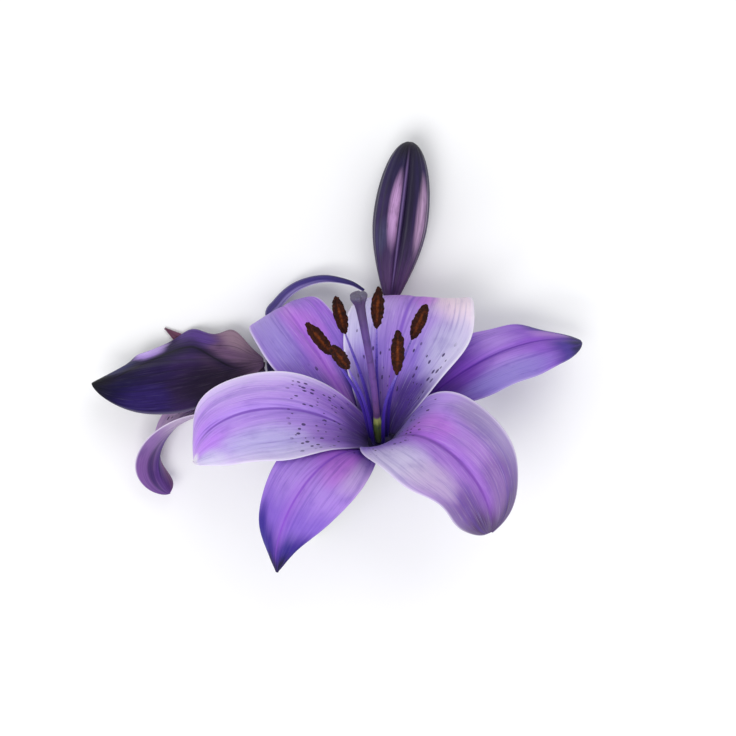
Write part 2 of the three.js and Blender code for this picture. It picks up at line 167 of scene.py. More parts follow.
class Bench:
    """One material, and short words for the nodes that its finish is mixed from."""

    def __init__(self, name):
        self.material = bpy.data.materials.new(name)
        self.material.use_nodes = True
        self.tree = self.material.node_tree
        self.skin = self.tree.nodes["Principled BSDF"]

    def node(self, kind, **settings):
        made = self.tree.nodes.new("ShaderNode" + kind)
        for key, value in settings.items():
            setattr(made, key, value)
        return made

    def feed(self, socket, value):
        if isinstance(value, bpy.types.NodeSocket):
            self.tree.links.new(value, socket)
        else:
            socket.default_value = value

    def reckon(self, operation, first, second=0.0):
        made = self.node("Math", operation=operation)
        self.feed(made.inputs[0], first)
        self.feed(made.inputs[1], second)
        return made.outputs[0]

    def times(self, first, second):
        return self.reckon("MULTIPLY", first, second)

    def plus(self, first, second):
        return self.reckon("ADD", first, second)

    def minus(self, first, second):
        return self.reckon("SUBTRACT", first, second)

    def fade(self, value, start, stop):
        """0 at start and 1 at stop, with soft ends. start may be the larger of the two."""
        made = self.node("MapRange", interpolation_type="SMOOTHSTEP")
        self.feed(made.inputs["Value"], value)
        if start < stop:
            limits = (start, stop, 0.0, 1.0)
        else:
            limits = (stop, start, 1.0, 0.0)
        for key, limit in zip(("From Min", "From Max", "To Min", "To Max"), limits):
            made.inputs[key].default_value = limit
        return made.outputs["Result"]

    def point(self, x, y, z=0.0):
        made = self.node("CombineXYZ")
        for socket, value in zip(made.inputs, (x, y, z)):
            self.feed(socket, value)
        return made.outputs[0]

    def grain(self, place, scale, detail=3.0, roughness=0.55):
        made = self.node("TexNoise")
        self.feed(made.inputs["Vector"], place)
        made.inputs["Scale"].default_value = scale
        made.inputs["Detail"].default_value = detail
        made.inputs["Roughness"].default_value = roughness
        return made.outputs["Fac"]

    def ramp(self, value, stops):
        """A colour that changes along a value: stops are (value, colour code)."""
        made = self.node("ValToRGB")
        made.color_ramp.interpolation = "EASE"
        points = made.color_ramp.elements
        while len(points) < len(stops):
            points.new(0.5)
        for point, (position, code) in zip(points, stops):
            point.position = position
            point.color = hue(code)
        self.feed(made.inputs["Fac"], value)
        return made.outputs["Color"]

    def over(self, under, colour, mask):
        """A colour laid over another through a mask."""
        made = self.node("Mix", data_type="RGBA")
        self.feed(made.inputs["Factor"], mask)
        self.feed(made.inputs[6], under)
        self.feed(made.inputs[7], hue(colour) if isinstance(colour, str) else colour)
        return made.outputs[2]

    def object_place(self):
        return self.node("TexCoord").outputs["Object"]

    def attribute(self, name):
        return self.node("Attribute", attribute_name=name).outputs["Fac"]

    def finish(self, colour, roughness, relief=None, depth=0.1, **fixed):
        """Feeds the shader. relief is a height from 0 to 1, depth its size in mm; fixed sets plain sockets."""
        self.feed(self.skin.inputs["Base Color"], colour)
        self.feed(self.skin.inputs["Roughness"], roughness)
        if relief is not None:
            bump = self.node("Bump")
            bump.inputs["Strength"].default_value = 1.0
            bump.inputs["Distance"].default_value = depth * MM
            self.feed(bump.inputs["Height"], relief)
            self.feed(self.skin.inputs["Normal"], bump.outputs["Normal"])
        for key, value in fixed.items():
            self.skin.inputs[key.replace("_", " ")].default_value = value
        return self.material


print("middle grey is", round(hue("808080")[0], 3), "in linear light")

# %% The table's finish
table_bench = Bench("white_table")
table_cloud = table_bench.grain(table_bench.object_place(), 3.0)
table_tone = table_bench.ramp(table_cloud, [(0.3, "f7f7f8"), (0.7, "fbfbfb")])
table.data.materials.append(table_bench.finish(table_tone, 0.75))
print("finishes:", len(bpy.data.materials))

# %% [markdown]
# ## A tepal's skin
# A lily's petals and sepals look alike, so both are called tepals. Each is coloured a little differently, and
# some carry painted highlights and shade, but all share the same drawing: a tone that runs from the dark throat
# to the tip, a band along the midrib with a thin dark line in it, fine veins that run lengthwise, a pale rim,
# and dark freckles near the base.
# The blade's own map gives the place on it: u runs across, with the midrib at one half, and v runs from the
# base to the tip, so the veins follow the blade's bends by themselves. The fine veins are relief as well as
# colour, because they catch the light on the real one. Freckles sit in the cells of a Voronoi texture: one dot
# to a cell, and only in some of the cells, because a plain noise would give blots.

# %% Freckles
FRECKLE = "2c0d55"
FRECKLE_ACROSS, FRECKLE_ALONG = 2.1, 3.8  # the size of a cell that may hold one, in mm


def freckle_mask(bench, side, along, width, length, seed, first, last, share):
    """Dots of uneven size from first to last along the blade. share says how many cells hold one."""
    cells = bench.node("TexVoronoi", voronoi_dimensions="2D")
    cells.inputs["Scale"].default_value = 1.0
    place = bench.point(bench.times(side, width / 2 / FRECKLE_ACROSS),
                        bench.times(along, length / FRECKLE_ALONG))
    shifted = bench.node("VectorMath", operation="ADD")
    bench.feed(shifted.inputs[0], place)
    shifted.inputs[1].default_value = (seed * 3.7, seed * 1.9, 0)
    bench.feed(cells.inputs["Vector"], shifted.outputs[0])
    chance = bench.node("SeparateColor")
    bench.feed(chance.inputs[0], cells.outputs["Color"])
    size = bench.plus(bench.times(chance.outputs["Green"], 0.16), 0.1)
    inside = bench.fade(bench.minus(cells.outputs["Distance"], size), 0.05, -0.03)
    kept = bench.fade(chance.outputs["Red"], 1.0 - share, 1.02 - share)
    where = bench.times(bench.fade(along, first, first + 0.04), bench.fade(along, last + 0.05, last - 0.02))
    where = bench.times(where, bench.fade(bench.reckon("ABSOLUTE", side), 0.94, 0.8))
    return bench.times(bench.times(inside, kept), where)


print("a freckle's cell is", FRECKLE_ACROSS, "by", FRECKLE_ALONG, "mm")

# %% How one tepal's finish is mixed
VEIN_DARK = "5a3aa8"
RIM = "efe9f8"
BAND_REACH, LINE_REACH = 0.34, 0.05  # of the midrib's band and line, as shares of half the blade's width
RELIEF_DEPTH = 0.22


def tepal_skin(name, looks, width, length, seed):
    """The finish of one face of a blade, whose width and length are in mm.

    looks holds tones and midrib (band, line, strength), and may hold patches, freckles (from, to, share), the
    strengths veins, bloom, haze and rim, the colours vein_colour and rim_colour, arched (how far the midrib
    strays to one side) and the shader's glow, sheen, gloss and roughness.
    """
    bench = Bench(name)
    split = bench.node("SeparateXYZ")
    bench.feed(split.inputs[0], bench.node("UVMap").outputs["UV"])
    along = split.outputs["Y"]
    side = bench.minus(bench.times(split.outputs["X"], 2.0), 1.0)
    across = bench.reckon("ABSOLUTE", side)
    off_rib = across
    if "arched" in looks:
        arch = bench.times(bench.fade(along, 0.12, 0.42), bench.fade(along, 1.0, 0.45))
        arch = bench.minus(bench.times(arch, looks["arched"]), 0.25)
        off_rib = bench.reckon("ABSOLUTE", bench.minus(side, arch))

    # The tones wander a little, and the patches lie over them.
    wander = bench.grain(bench.point(side, along, seed), 2.2, 2.0)
    tone_place = bench.plus(along, bench.times(bench.minus(wander, 0.5), 0.16))
    colour = bench.ramp(tone_place, looks["tones"])
    for patch_side, patch_along, reach, rise, code, strength in looks.get("patches", ()):
        dx = bench.reckon("DIVIDE", bench.minus(side, patch_side), reach)
        dy = bench.reckon("DIVIDE", bench.minus(tone_place, patch_along), rise)
        distance = bench.plus(bench.times(dx, dx), bench.times(dy, dy))
        colour = bench.over(colour, code, bench.times(bench.fade(distance, 1.0, 0.0), strength))

    # The midrib's band, which dies out at both ends.
    band, line, strength = looks["midrib"]
    ends = bench.times(bench.fade(along, 0.06, 0.25), bench.fade(along, 1.0, 0.8))
    band_mask = bench.times(bench.fade(off_rib, BAND_REACH, 0.0), bench.times(ends, strength))
    colour = bench.over(colour, band, band_mask)

    # Veins leave the midrib at a slant, so their place across shifts with the place along.
    leaving = bench.minus(across, bench.times(along, 0.3))
    own_side = bench.plus(bench.times(side, 0.8), seed)
    vein_place = bench.point(bench.times(leaving, width * 0.3), bench.times(along, 1.5), own_side)
    veins = bench.grain(vein_place, 1.0, 2.0, 0.6)
    fine_place = bench.point(bench.times(leaving, width), bench.times(along, 7.0), own_side)
    fine = bench.grain(fine_place, 1.0, 3.0, 0.65)
    cloud_place = bench.point(bench.times(side, 4.0), bench.times(along, 9.0), seed)
    cloudy = bench.grain(cloud_place, 1.0, 4.0)
    vein_share = looks.get("veins", 0.3)
    vein_code = looks.get("vein_colour", VEIN_DARK)
    colour = bench.over(colour, vein_code, bench.times(bench.fade(veins, 0.5, 0.3), vein_share))
    colour = bench.over(colour, RIM, bench.times(bench.fade(fine, 0.5, 0.8), looks.get("bloom", 0.22)))
    colour = bench.over(colour, vein_code, bench.times(bench.fade(fine, 0.5, 0.25), vein_share))
    colour = bench.over(colour, vein_code, bench.times(bench.fade(cloudy, 0.5, 0.25), vein_share * 0.8))

    # The dark line, a pale haze towards the margins, and the rim.
    line_mask = bench.times(bench.fade(off_rib, LINE_REACH, 0.01), bench.times(ends, 0.75))
    colour = bench.over(colour, line, line_mask)
    haze = bench.times(bench.fade(across, 0.6, 1.0), bench.fade(along, 0.15, 0.4))
    colour = bench.over(colour, RIM, bench.times(haze, looks.get("haze", 0.0)))
    rim = bench.times(bench.times(bench.fade(across, 0.93, 1.0), looks.get("rim", 0.55)),
                      bench.fade(along, 0.04, 0.3))
    colour = bench.over(colour, looks.get("rim_colour", RIM), rim)

    relief = bench.plus(bench.times(veins, 0.75), bench.times(fine, 0.25))
    if "freckles" in looks:
        freckles = freckle_mask(bench, side, along, width, length, seed, *looks["freckles"])
        colour = bench.over(colour, FRECKLE, bench.times(freckles, 0.88))
        relief = bench.plus(relief, bench.times(freckles, 0.8))

    roughness = bench.plus(bench.times(fine, 0.22), looks.get("roughness", 0.4))
    return bench.finish(colour, roughness, relief, RELIEF_DEPTH, Subsurface_Weight=looks.get("glow", 0.12),
                        Subsurface_Radius=(0.9, 0.5, 1.0), Subsurface_Scale=1.5 * MM,
                        Sheen_Weight=looks.get("sheen", 0.12), Specular_IOR_Level=looks.get("gloss", 0.4))


print("the dark line takes", round(LINE_REACH / BAND_REACH, 2), "of the midrib's band")

# %% [markdown]
# ## A tepal's blade
# A tepal is one thin blade. It leaves the flower as a narrow cupped claw, widens, bends back over its
# length, turns about its midrib and ends in a small thick point. The blade starts as a flat grid, which also
# brings the map. The transform operators move whole rows at once, and can't give a cup that opens along the
# row while its margins ripple, so here the grid's corners are set rib by rib from a formula, in the way that
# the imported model's blades were. Solidify then gives the flesh, thinner at the margins, and Subdivision
# rounds it.

# %% A flower's own directions
def lerp(first, second, share):
    return first + (second - first) * share


class Flower:
    """A flower's base and axis, and the direction that azimuths are counted from."""

    def __init__(self, base, axis, towards):
        self.base = base
        self.axis = axis
        self.start = (towards - axis * towards.dot(axis)).normalized()
        self.side = axis.cross(self.start)

    def outwards(self, azimuth):
        angle = math.radians(azimuth)
        return self.start * math.cos(angle) + self.side * math.sin(angle)


open_flower = Flower(open_base, OPEN_AXIS, Vector((1, 0, 0)))
side_flower = Flower(side_base, SIDE_AXIS, Vector((0, 0, 1)))
bud = Flower(bud_base, BUD_AXIS, Vector((0, 0, 1)))
print("azimuth 0 of the open flower points", [round(part, 2) for part in open_flower.start])

# %% The ribs and the outline of a blade
CLAW_SHARE = 0.36  # the claw's width as a share of the blade's
TIP_HALF_WIDTH = 0.35


def blade_half_width(share, width, shape):
    rise = math.sin(math.pi / 2 * min(share / shape["widest"], 1)) ** shape.get("rush", 1.5)
    past = max((share - shape["widest"]) / (1 - shape["widest"]), 0)
    fall = (1 - past ** 2.2) ** shape["blunt"]
    return max(width / 2 * lerp(shape.get("base", CLAW_SHARE), 1, rise) * fall, TIP_HALF_WIDTH)


def tepal_ribs(flower, shape, ring, length, shares):
    """For each share of the length: the midrib's place, the direction across the blade, its inner normal."""
    out = flower.outwards(shape["azimuth"])
    opening = math.radians(shape["opening"])
    first = flower.axis * math.cos(opening) + out * math.sin(opening)
    face = flower.axis * math.sin(opening) - out * math.cos(opening)
    sideways = face.cross(first)
    place = flower.base / MM + out * ring
    ribs = []
    before = None
    last_share = 0
    for share in shares:
        curl = math.radians(shape["curl"]) * share ** shape["ease"]
        sweep = math.radians(shape["sweep"]) * share ** 1.5
        turn = math.radians(shape["roll"] + shape["twist"] * share)
        ahead = first * math.cos(curl) - face * math.sin(curl)
        tangent = ahead * math.cos(sweep) + sideways * math.sin(sweep)
        flat = sideways * math.cos(sweep) - ahead * math.sin(sweep)
        normal = first * math.sin(curl) + face * math.cos(curl)
        if before is not None:
            place = place + (tangent + before) * (length * (share - last_share) / 2)
        before = tangent
        last_share = share
        ribs.append((place, flat * math.cos(turn) + normal * math.sin(turn),
                     normal * math.cos(turn) - flat * math.sin(turn)))
    return ribs


print("a tepal's tip is", 2 * TIP_HALF_WIDTH, "mm wide before it is rounded")

# %% [markdown]
# Two more things make a blade look grown. A groove runs along the inner face over the midrib, and shows as a
# ridge behind. The margins ripple, a little more towards the tip. Each blade may also have bulges of its own:
# places where one margin reaches further out, or lifts or rolls back.

# %% From a flat grid to a blade
CELLS_ACROSS = 28
CELLS_ALONG = 60
FLESH = 1.0  # thickness at the midrib
MARGIN_SHARE = 0.45  # of that thickness, at the margins
GROOVE_REACH = 1.5  # how far the midrib's groove reaches to each side, in mm
CORD_HEIGHT = 0.05  # of the fine lengthwise cords between the veins, in mm


def nearer_the_tip(share):
    """Rows crowd together towards the tip, where the outline turns fastest."""
    return 1 - (1 - share) ** 1.4


def place_on_blade(rib, across, along, half, shape):
    """Where a corner goes: across runs from -1 to 1, along from 0 to 1, and half is the half width there."""
    place, flat, normal = rib
    bow = math.radians(lerp(shape["claw"], shape["cup"], along)) or 0.001
    side = math.copysign(1, across)
    reach = across * (1 + side * shape["skew"] * math.sin(math.pi * along))
    lift = 0.0
    for at, bulge_side, spread, wider, up in shape.get("bulges", ()):
        near = math.exp(-((along - at) / spread) ** 2)
        if bulge_side * across > 0:
            reach *= 1 + wider * near * abs(across)
            lift += up * near * abs(across) ** 2.5
    angle = bow * reach
    inner = normal * math.cos(angle) - flat * math.sin(angle)
    ripple, waves, phase = shape.get("ripple", (0.7, 4, 0.0))
    lift += ripple * abs(across) ** 3 * (0.3 + along) * math.sin(2 * math.pi * waves * along + phase + side)
    groove = math.exp(-(half * across / GROOVE_REACH) ** 2) * math.sin(math.pi * along) ** 0.6
    lift -= shape.get("groove", 0.8) * groove
    lift += CORD_HEIGHT * math.cos(half * across * 1.1) * math.sin(math.pi * along)
    return (place + flat * (half * math.sin(angle) / bow) + normal * (half * (1 - math.cos(angle)) / bow)
            + inner * lift)


print("the margins are", FLESH * MARGIN_SHARE, "mm thick")


# %% A sheet, and its flesh
def blade(name, place_at):
    """A thin sheet: a grid whose corners go to place_at(across, along), and a group for its flesh's thickness.
    """
    bpy.ops.object.select_all(action="DESELECT")
    bpy.ops.mesh.primitive_grid_add(x_subdivisions=CELLS_ACROSS, y_subdivisions=CELLS_ALONG, size=2)
    sheet = bpy.context.object
    sheet.name = name
    flesh = sheet.vertex_groups.new(name="flesh")
    for corner in sheet.data.vertices:
        across, along = corner.co.x, nearer_the_tip((corner.co.y + 1) / 2)
        flesh.add([corner.index], lerp(1, MARGIN_SHARE, abs(across) ** 1.5), "REPLACE")
        corner.co = place_at(across, along) * MM
    for spot in sheet.data.uv_layers.active.data:
        spot.uv.y = nearer_the_tip(spot.uv.y)
    bpy.ops.object.mode_set(mode="EDIT")
    bpy.ops.mesh.select_all(action="SELECT")
    bpy.ops.mesh.flip_normals()
    bpy.ops.object.mode_set(mode="OBJECT")
    return sheet


def give_flesh(sheet, thickness, inner, outer):
    """Thickness, with the inner face's finish on one side and the outer face's on the other."""
    sheet.data.materials.append(inner)
    sheet.data.materials.append(outer)
    solidify = sheet.modifiers.new("flesh", "SOLIDIFY")
    solidify.thickness = thickness * MM
    solidify.offset = 0
    solidify.vertex_group = "flesh"
    solidify.thickness_vertex_group = 0.05
    solidify.material_offset = 1
    rounder = sheet.modifiers.new("rounder", "SUBSURF")
    rounder.levels = rounder.render_levels = 1
    bpy.context.view_layer.objects.active = sheet
    bpy.ops.object.modifier_apply(modifier="flesh")
    bpy.ops.object.modifier_apply(modifier="rounder")
    sheet.data.polygons.foreach_set("use_smooth", [True] * len(sheet.data.polygons))


print("a blade starts as a grid of", CELLS_ACROSS, "by", CELLS_ALONG, "cells")


# %% Handing a piece over
def belongs(piece, node):
    """The piece stands for its node, and the print shows how far its box is from the node's, in mm."""
    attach(piece, "root")
    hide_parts(node)
    low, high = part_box(node)
    corners = np.array([corner.co for corner in piece.data.vertices])
    apart = [*(corners.min(0) - np.array(low)), *(corners.max(0) - np.array(high))]
    print(f"{piece.name}: {len(piece.data.polygons)} faces, box apart {[round(a / MM, 1) for a in apart]}")


print("nodes still to stand for:", len(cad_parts))

# %% [markdown]
# ## The open flower
# The three petals are broader and stand inside the three sepals. Angles are in degrees. opening is counted
# from the flower's axis, curl is how far the blade bends back, late when ease is high, and sweep bends it
# sideways. roll turns it about its midrib, and twist turns the tip further. cup is the cross-section's half
# angle at the tip and claw at the base. widest is where along the blade it is widest, and blunt is low for a
# round end and high for a slender one. skew moves the blade to one side, base is the claw's share of the width,
# and rush is high where the claw stays narrow for long. longer and wider are added to the whorl's own size.
# ripple is the margins' height, waves and phase, and groove the midrib's depth. A bulge is its place along, its
# margin, its reach, how much wider it makes the blade and how far it lifts it.
#
# The looks follow: tones from base to tip, the midrib's band and line, patches as (side, along, reach across,
# reach along, colour, strength), and where freckles begin, end and how many cells hold one.

# %% Shapes of the open flower's tepals
PETAL_RING, SEPAL_RING = 4.6, 6.2
OPEN_SHAPES = {
    "open_petal_left": dict(azimuth=184, opening=35, curl=139, ease=1.85, sweep=15, roll=-10, twist=0,
                            claw=55, cup=-9, widest=0.51, blunt=0.6, skew=0.27, longer=2, wider=-6,
                            ripple=(0.8, 3, 0.6), groove=1.1),
    "open_petal_back": dict(azimuth=73, opening=40, curl=152, ease=2.8, sweep=0, roll=-3, twist=-3,
                            claw=52, cup=-26, widest=0.56, blunt=0.5, skew=-0.08, longer=-16, wider=3,
                            bulges=((0.62, -1, 0.2, 0.12, 0.0), (0.82, -1, 0.13, 0.0, 6.0)),
                            ripple=(0.8, 3, 2.0), groove=0.8),
    "open_petal_front": dict(azimuth=322, opening=24, curl=152, ease=1.35, sweep=-20, roll=-8, twist=12,
                             claw=50, cup=-8, widest=0.42, blunt=0.5, skew=-0.08, longer=-7, wider=3,
                             bulges=((0.72, -1, 0.13, -0.14, 0.0),), ripple=(0.9, 3, 1.2), groove=1.5,
                             base=0.5),
    "open_sepal_back": dict(azimuth=135, opening=46, curl=132, ease=2.9, sweep=-26, roll=8, twist=2,
                            claw=50, cup=-15, widest=0.44, blunt=0.6, skew=0.17, longer=-8, wider=6,
                            ripple=(0.7, 3, 0.4), groove=1.0),
    "open_sepal_right": dict(azimuth=30, opening=52, curl=78, ease=1.4, sweep=-12, roll=-8, twist=2,
                             claw=45, cup=-40, widest=0.48, blunt=0.6, skew=-0.1, longer=8, wider=-1,
                             ripple=(0.7, 4, 0.9), groove=1.0, base=0.5),
    "open_sepal_front": dict(azimuth=233, opening=38, curl=134, ease=1.7, sweep=12, roll=-5, twist=-4,
                             claw=52, cup=-60, widest=0.46, blunt=0.9, skew=0.1, longer=3, wider=-1,
                             ripple=(0.5, 3, 0.0), groove=0.9),
}
print("tepals of the open flower:", len(OPEN_SHAPES))

# %% Looks of the open flower's tepals
OPEN_LOOKS = {
    "open_petal_left": dict(
        tones=[(0, "3c2468"), (0.1, "5c3c8c"), (0.26, "9a70cc"), (0.42, "b38ee2"), (0.68, "b890e6"),
               (0.9, "b988ec"), (1, "cfb0ee")],
        midrib=("ac84e6", "6a34ac", 0.62), freckles=(0.15, 0.44, 0.42), haze=0.4,
        # The bluish-white patch at side 0.66 is partly tone and partly a painted highlight on the lower blade,
        # which faces the lamp.
        patches=[(0.66, 0.56, 0.5, 0.28, "bab2e6", 0.85), (-0.75, 0.62, 0.5, 0.3, "bca0e0", 0.7),
                 (0.1, 0.86, 0.5, 0.16, "ba78ee", 0.7), (0.8, 0.86, 0.4, 0.14, "c8c4e6", 0.8),
                 (0.6, 1.0, 0.7, 0.07, "f4f0f8", 0.95)]),
    "open_petal_back": dict(
        tones=[(0, "341c64"), (0.24, "482a80"), (0.42, "8c6ecc"), (0.7, "b494e0"), (1, "c070dc")],
        midrib=("a878e0", "8050c8", 0.5), freckles=(0.16, 0.5, 0.3), haze=0.3,
        # The pinkish-white corner at side -0.95 is partly tone and partly a painted highlight on the lit
        # margin.
        patches=[(-0.95, 0.82, 0.8, 0.24, "f4dcea", 1.0), (-0.8, 0.5, 0.5, 0.24, "c2bcde", 0.85),
                 (0.85, 0.6, 0.55, 0.28, "c4c0e4", 0.8), (-0.2, 0.86, 0.34, 0.16, "c86ce4", 0.75)]),
    "open_petal_front": dict(
        # The dusky last tones are partly tone and partly painted shade on the tip, which curls down away from
        # the light.
        tones=[(0, "4a2e80"), (0.14, "8a6cc8"), (0.36, "ae84dc"), (0.62, "a87cce"), (0.8, "74509a"),
               (0.95, "482860")],
        midrib=("a868dc", "7438a8", 0.6), freckles=(0.08, 0.3, 0.4), rim=0.5, haze=0.12,
        # The grey-white patch at side -0.7 is partly tone and partly a painted highlight where the blade faces
        # the lamp.
        patches=[(-0.7, 0.42, 0.6, 0.22, "dcd4f2", 0.9), (0.22, 0.34, 0.42, 0.2, "bc6cdc", 0.8),
                 (0.85, 0.58, 0.42, 0.28, "8878a8", 0.85), (-0.6, 0.6, 0.4, 0.16, "c8b4d6", 0.7),
                 (0.4, 0.84, 0.4, 0.14, "a07ac0", 0.6)]),
    "open_sepal_back": dict(
        tones=[(0, "241860"), (0.26, "453090"), (0.46, "8a62cc"), (0.74, "a06ad8"), (1, "7c54c0")],
        midrib=("c078e4", "9854cc", 0.75), freckles=(0.2, 0.42, 0.2),
        patches=[(0.62, 0.66, 0.5, 0.26, "a090dc", 0.75), (-0.3, 0.62, 0.35, 0.2, "b870dc", 0.6),
                 (-0.9, 0.8, 0.4, 0.2, "9a60d0", 0.5)]),
    "open_sepal_right": dict(
        tones=[(0, "1e123c"), (0.22, "3c2470"), (0.42, "7c4cb8"), (0.58, "b48ce4"), (0.76, "9460d0"),
               (0.88, "4a3496"), (0.96, "1e1850")],
        midrib=("8a48c8", "5a2ca0", 0.55), rim=0.15, bloom=0.05, sheen=0.0, gloss=0.2,
        patches=[(-0.75, 0.56, 0.55, 0.3, "9084d0", 0.8), (0.85, 0.86, 0.42, 0.16, "262070", 0.95),
                 (0.3, 0.84, 0.3, 0.12, "c090dc", 0.6)]),
    "open_sepal_front": dict(
        tones=[(0, "2a1856"), (0.14, "54309a"), (0.32, "aa68d4"), (0.56, "ae88e0"), (0.74, "8460c8"),
               (0.88, "2e1e80"), (0.97, "0c0630")],
        midrib=("a868d8", "8448c4", 0.35), rim=0.1, freckles=(0.12, 0.26, 0.3), bloom=0.05,
        sheen=0.0, gloss=0.2,
        patches=[(0.8, 0.36, 0.45, 0.2, "c8aee0", 0.8), (-0.85, 0.84, 0.4, 0.16, "2e2088", 0.9),
                 (0.3, 0.38, 0.4, 0.2, "c478dc", 0.6)]),
}
BACK_LOOKS = dict(tones=[(0, "5c7040"), (0.1, "6a6498"), (0.5, "8462b4"), (1, "6a48a4")],
                  midrib=("5c4a94", "3c2c74", 0.7), veins=0.5, rim=0.3, bloom=0.1)
print("patches on the open flower:", sum(len(looks["patches"]) for looks in OPEN_LOOKS.values()))

# %% [markdown]
# The same grower makes both flowers' tepals, so it takes the flower, a shape and the looks of both faces. A
# whorl's size is the length and width of its tepals and how far from the axis they begin.

# %% Growing one whorl of tepals
def whorl_of(node):
    return "petal" if "petal" in node else "sepal"


def grow_tepal(node, flower, shape, sizes, inner_looks, outer_looks, seed):
    length, width, ring = sizes[whorl_of(node)]
    length += shape["longer"]
    width += shape["wider"]
    shares = [nearer_the_tip(i / CELLS_ALONG) for i in range(CELLS_ALONG + 1)]
    ribs = tepal_ribs(flower, shape, ring, length, shares)

    def place_at(across, along):
        half = blade_half_width(along, width, shape)
        row = min(range(len(shares)), key=lambda row: abs(shares[row] - along))
        return place_on_blade(ribs[row], across, along, half, shape)

    sheet = blade(node + "_skin", place_at)
    inner = tepal_skin(node + "_inner", inner_looks, width, length, seed)
    outer = tepal_skin(node + "_outer", outer_looks, width, length, seed + 0.5)
    give_flesh(sheet, FLESH, inner, outer)
    belongs(sheet, node)


OPEN_SIZES = {"petal": (96, 50, PETAL_RING), "sepal": (92, 37, SEPAL_RING)}
for seed, (node, shape) in enumerate(OPEN_SHAPES.items(), 1):
    grow_tepal(node, open_flower, shape, OPEN_SIZES, OPEN_LOOKS[node], BACK_LOOKS, seed)

# %% [markdown]
# ## The side flower
# It has only begun to open, so mostly dark outer faces show. One broad sepal covers it, with a notch in its
# upper margin and a pale lip along the notch. The margin is bent by bulges, and the lip is painted as a patch,
# because it is too narrow to be rolled out of the blade. One petal bends right back, and one small sepal shows
# its tip. The other tepals are still wrapped round the stamens, shorter than they will be, and take the plain
# dark finish.

# %% Shapes of the side flower's tepals
SIDE_SIZES = {"petal": (74, 25, PETAL_RING), "sepal": (77, 30, SEPAL_RING)}
WRAPPED = dict(opening=8, curl=-4, ease=1, sweep=0, roll=0, twist=0, claw=60, cup=60, widest=0.5, blunt=0.8,
               skew=0, wider=-7, groove=0.5, ripple=(0.2, 3, 0.0))
SIDE_SHAPES = {
    "side_petal_upper": dict(WRAPPED, azimuth=60, longer=-32),
    "side_petal_lower": dict(azimuth=-134, opening=10, curl=148, ease=3.65, sweep=52, roll=-13, twist=54,
                             claw=34, cup=52, widest=0.466, blunt=0.67, skew=0.16, longer=5, wider=6, base=0.3,
                             rush=2.83, ripple=(0.5, 2, 0.5), groove=1.0),
    "side_petal_under": dict(WRAPPED, azimuth=180, longer=-26),
    "side_sepal_upper": dict(azimuth=55.6, opening=9, curl=-29, ease=2.1, sweep=7.6, roll=-28, twist=36,
                             claw=0.2, cup=58, widest=0.547, blunt=0.77, skew=-0.02, longer=-1, wider=17,
                             base=0.08, rush=0.9, ripple=(0.3, 3, 0.5), groove=0.6,
                             bulges=((0.15, 1, 0.08, 0.6, 0.0), (0.41, 1, 0.09, 0.2, -2.0),
                                     (0.68, 1, 0.11, -0.48, -3.0))),
    "side_sepal_under": dict(azimuth=145, opening=28, curl=4, ease=2.3, sweep=-36, roll=48, twist=-19,
                             claw=30, cup=10, widest=0.45, blunt=0.95, skew=0, longer=-27, wider=-21, base=0.35,
                             ripple=(0.2, 3, 0.5), groove=0.4),
    "side_sepal_lower": dict(WRAPPED, azimuth=-100, opening=6, longer=-31, wider=-12),
}
print("tepals of the side flower:", len(SIDE_SHAPES))

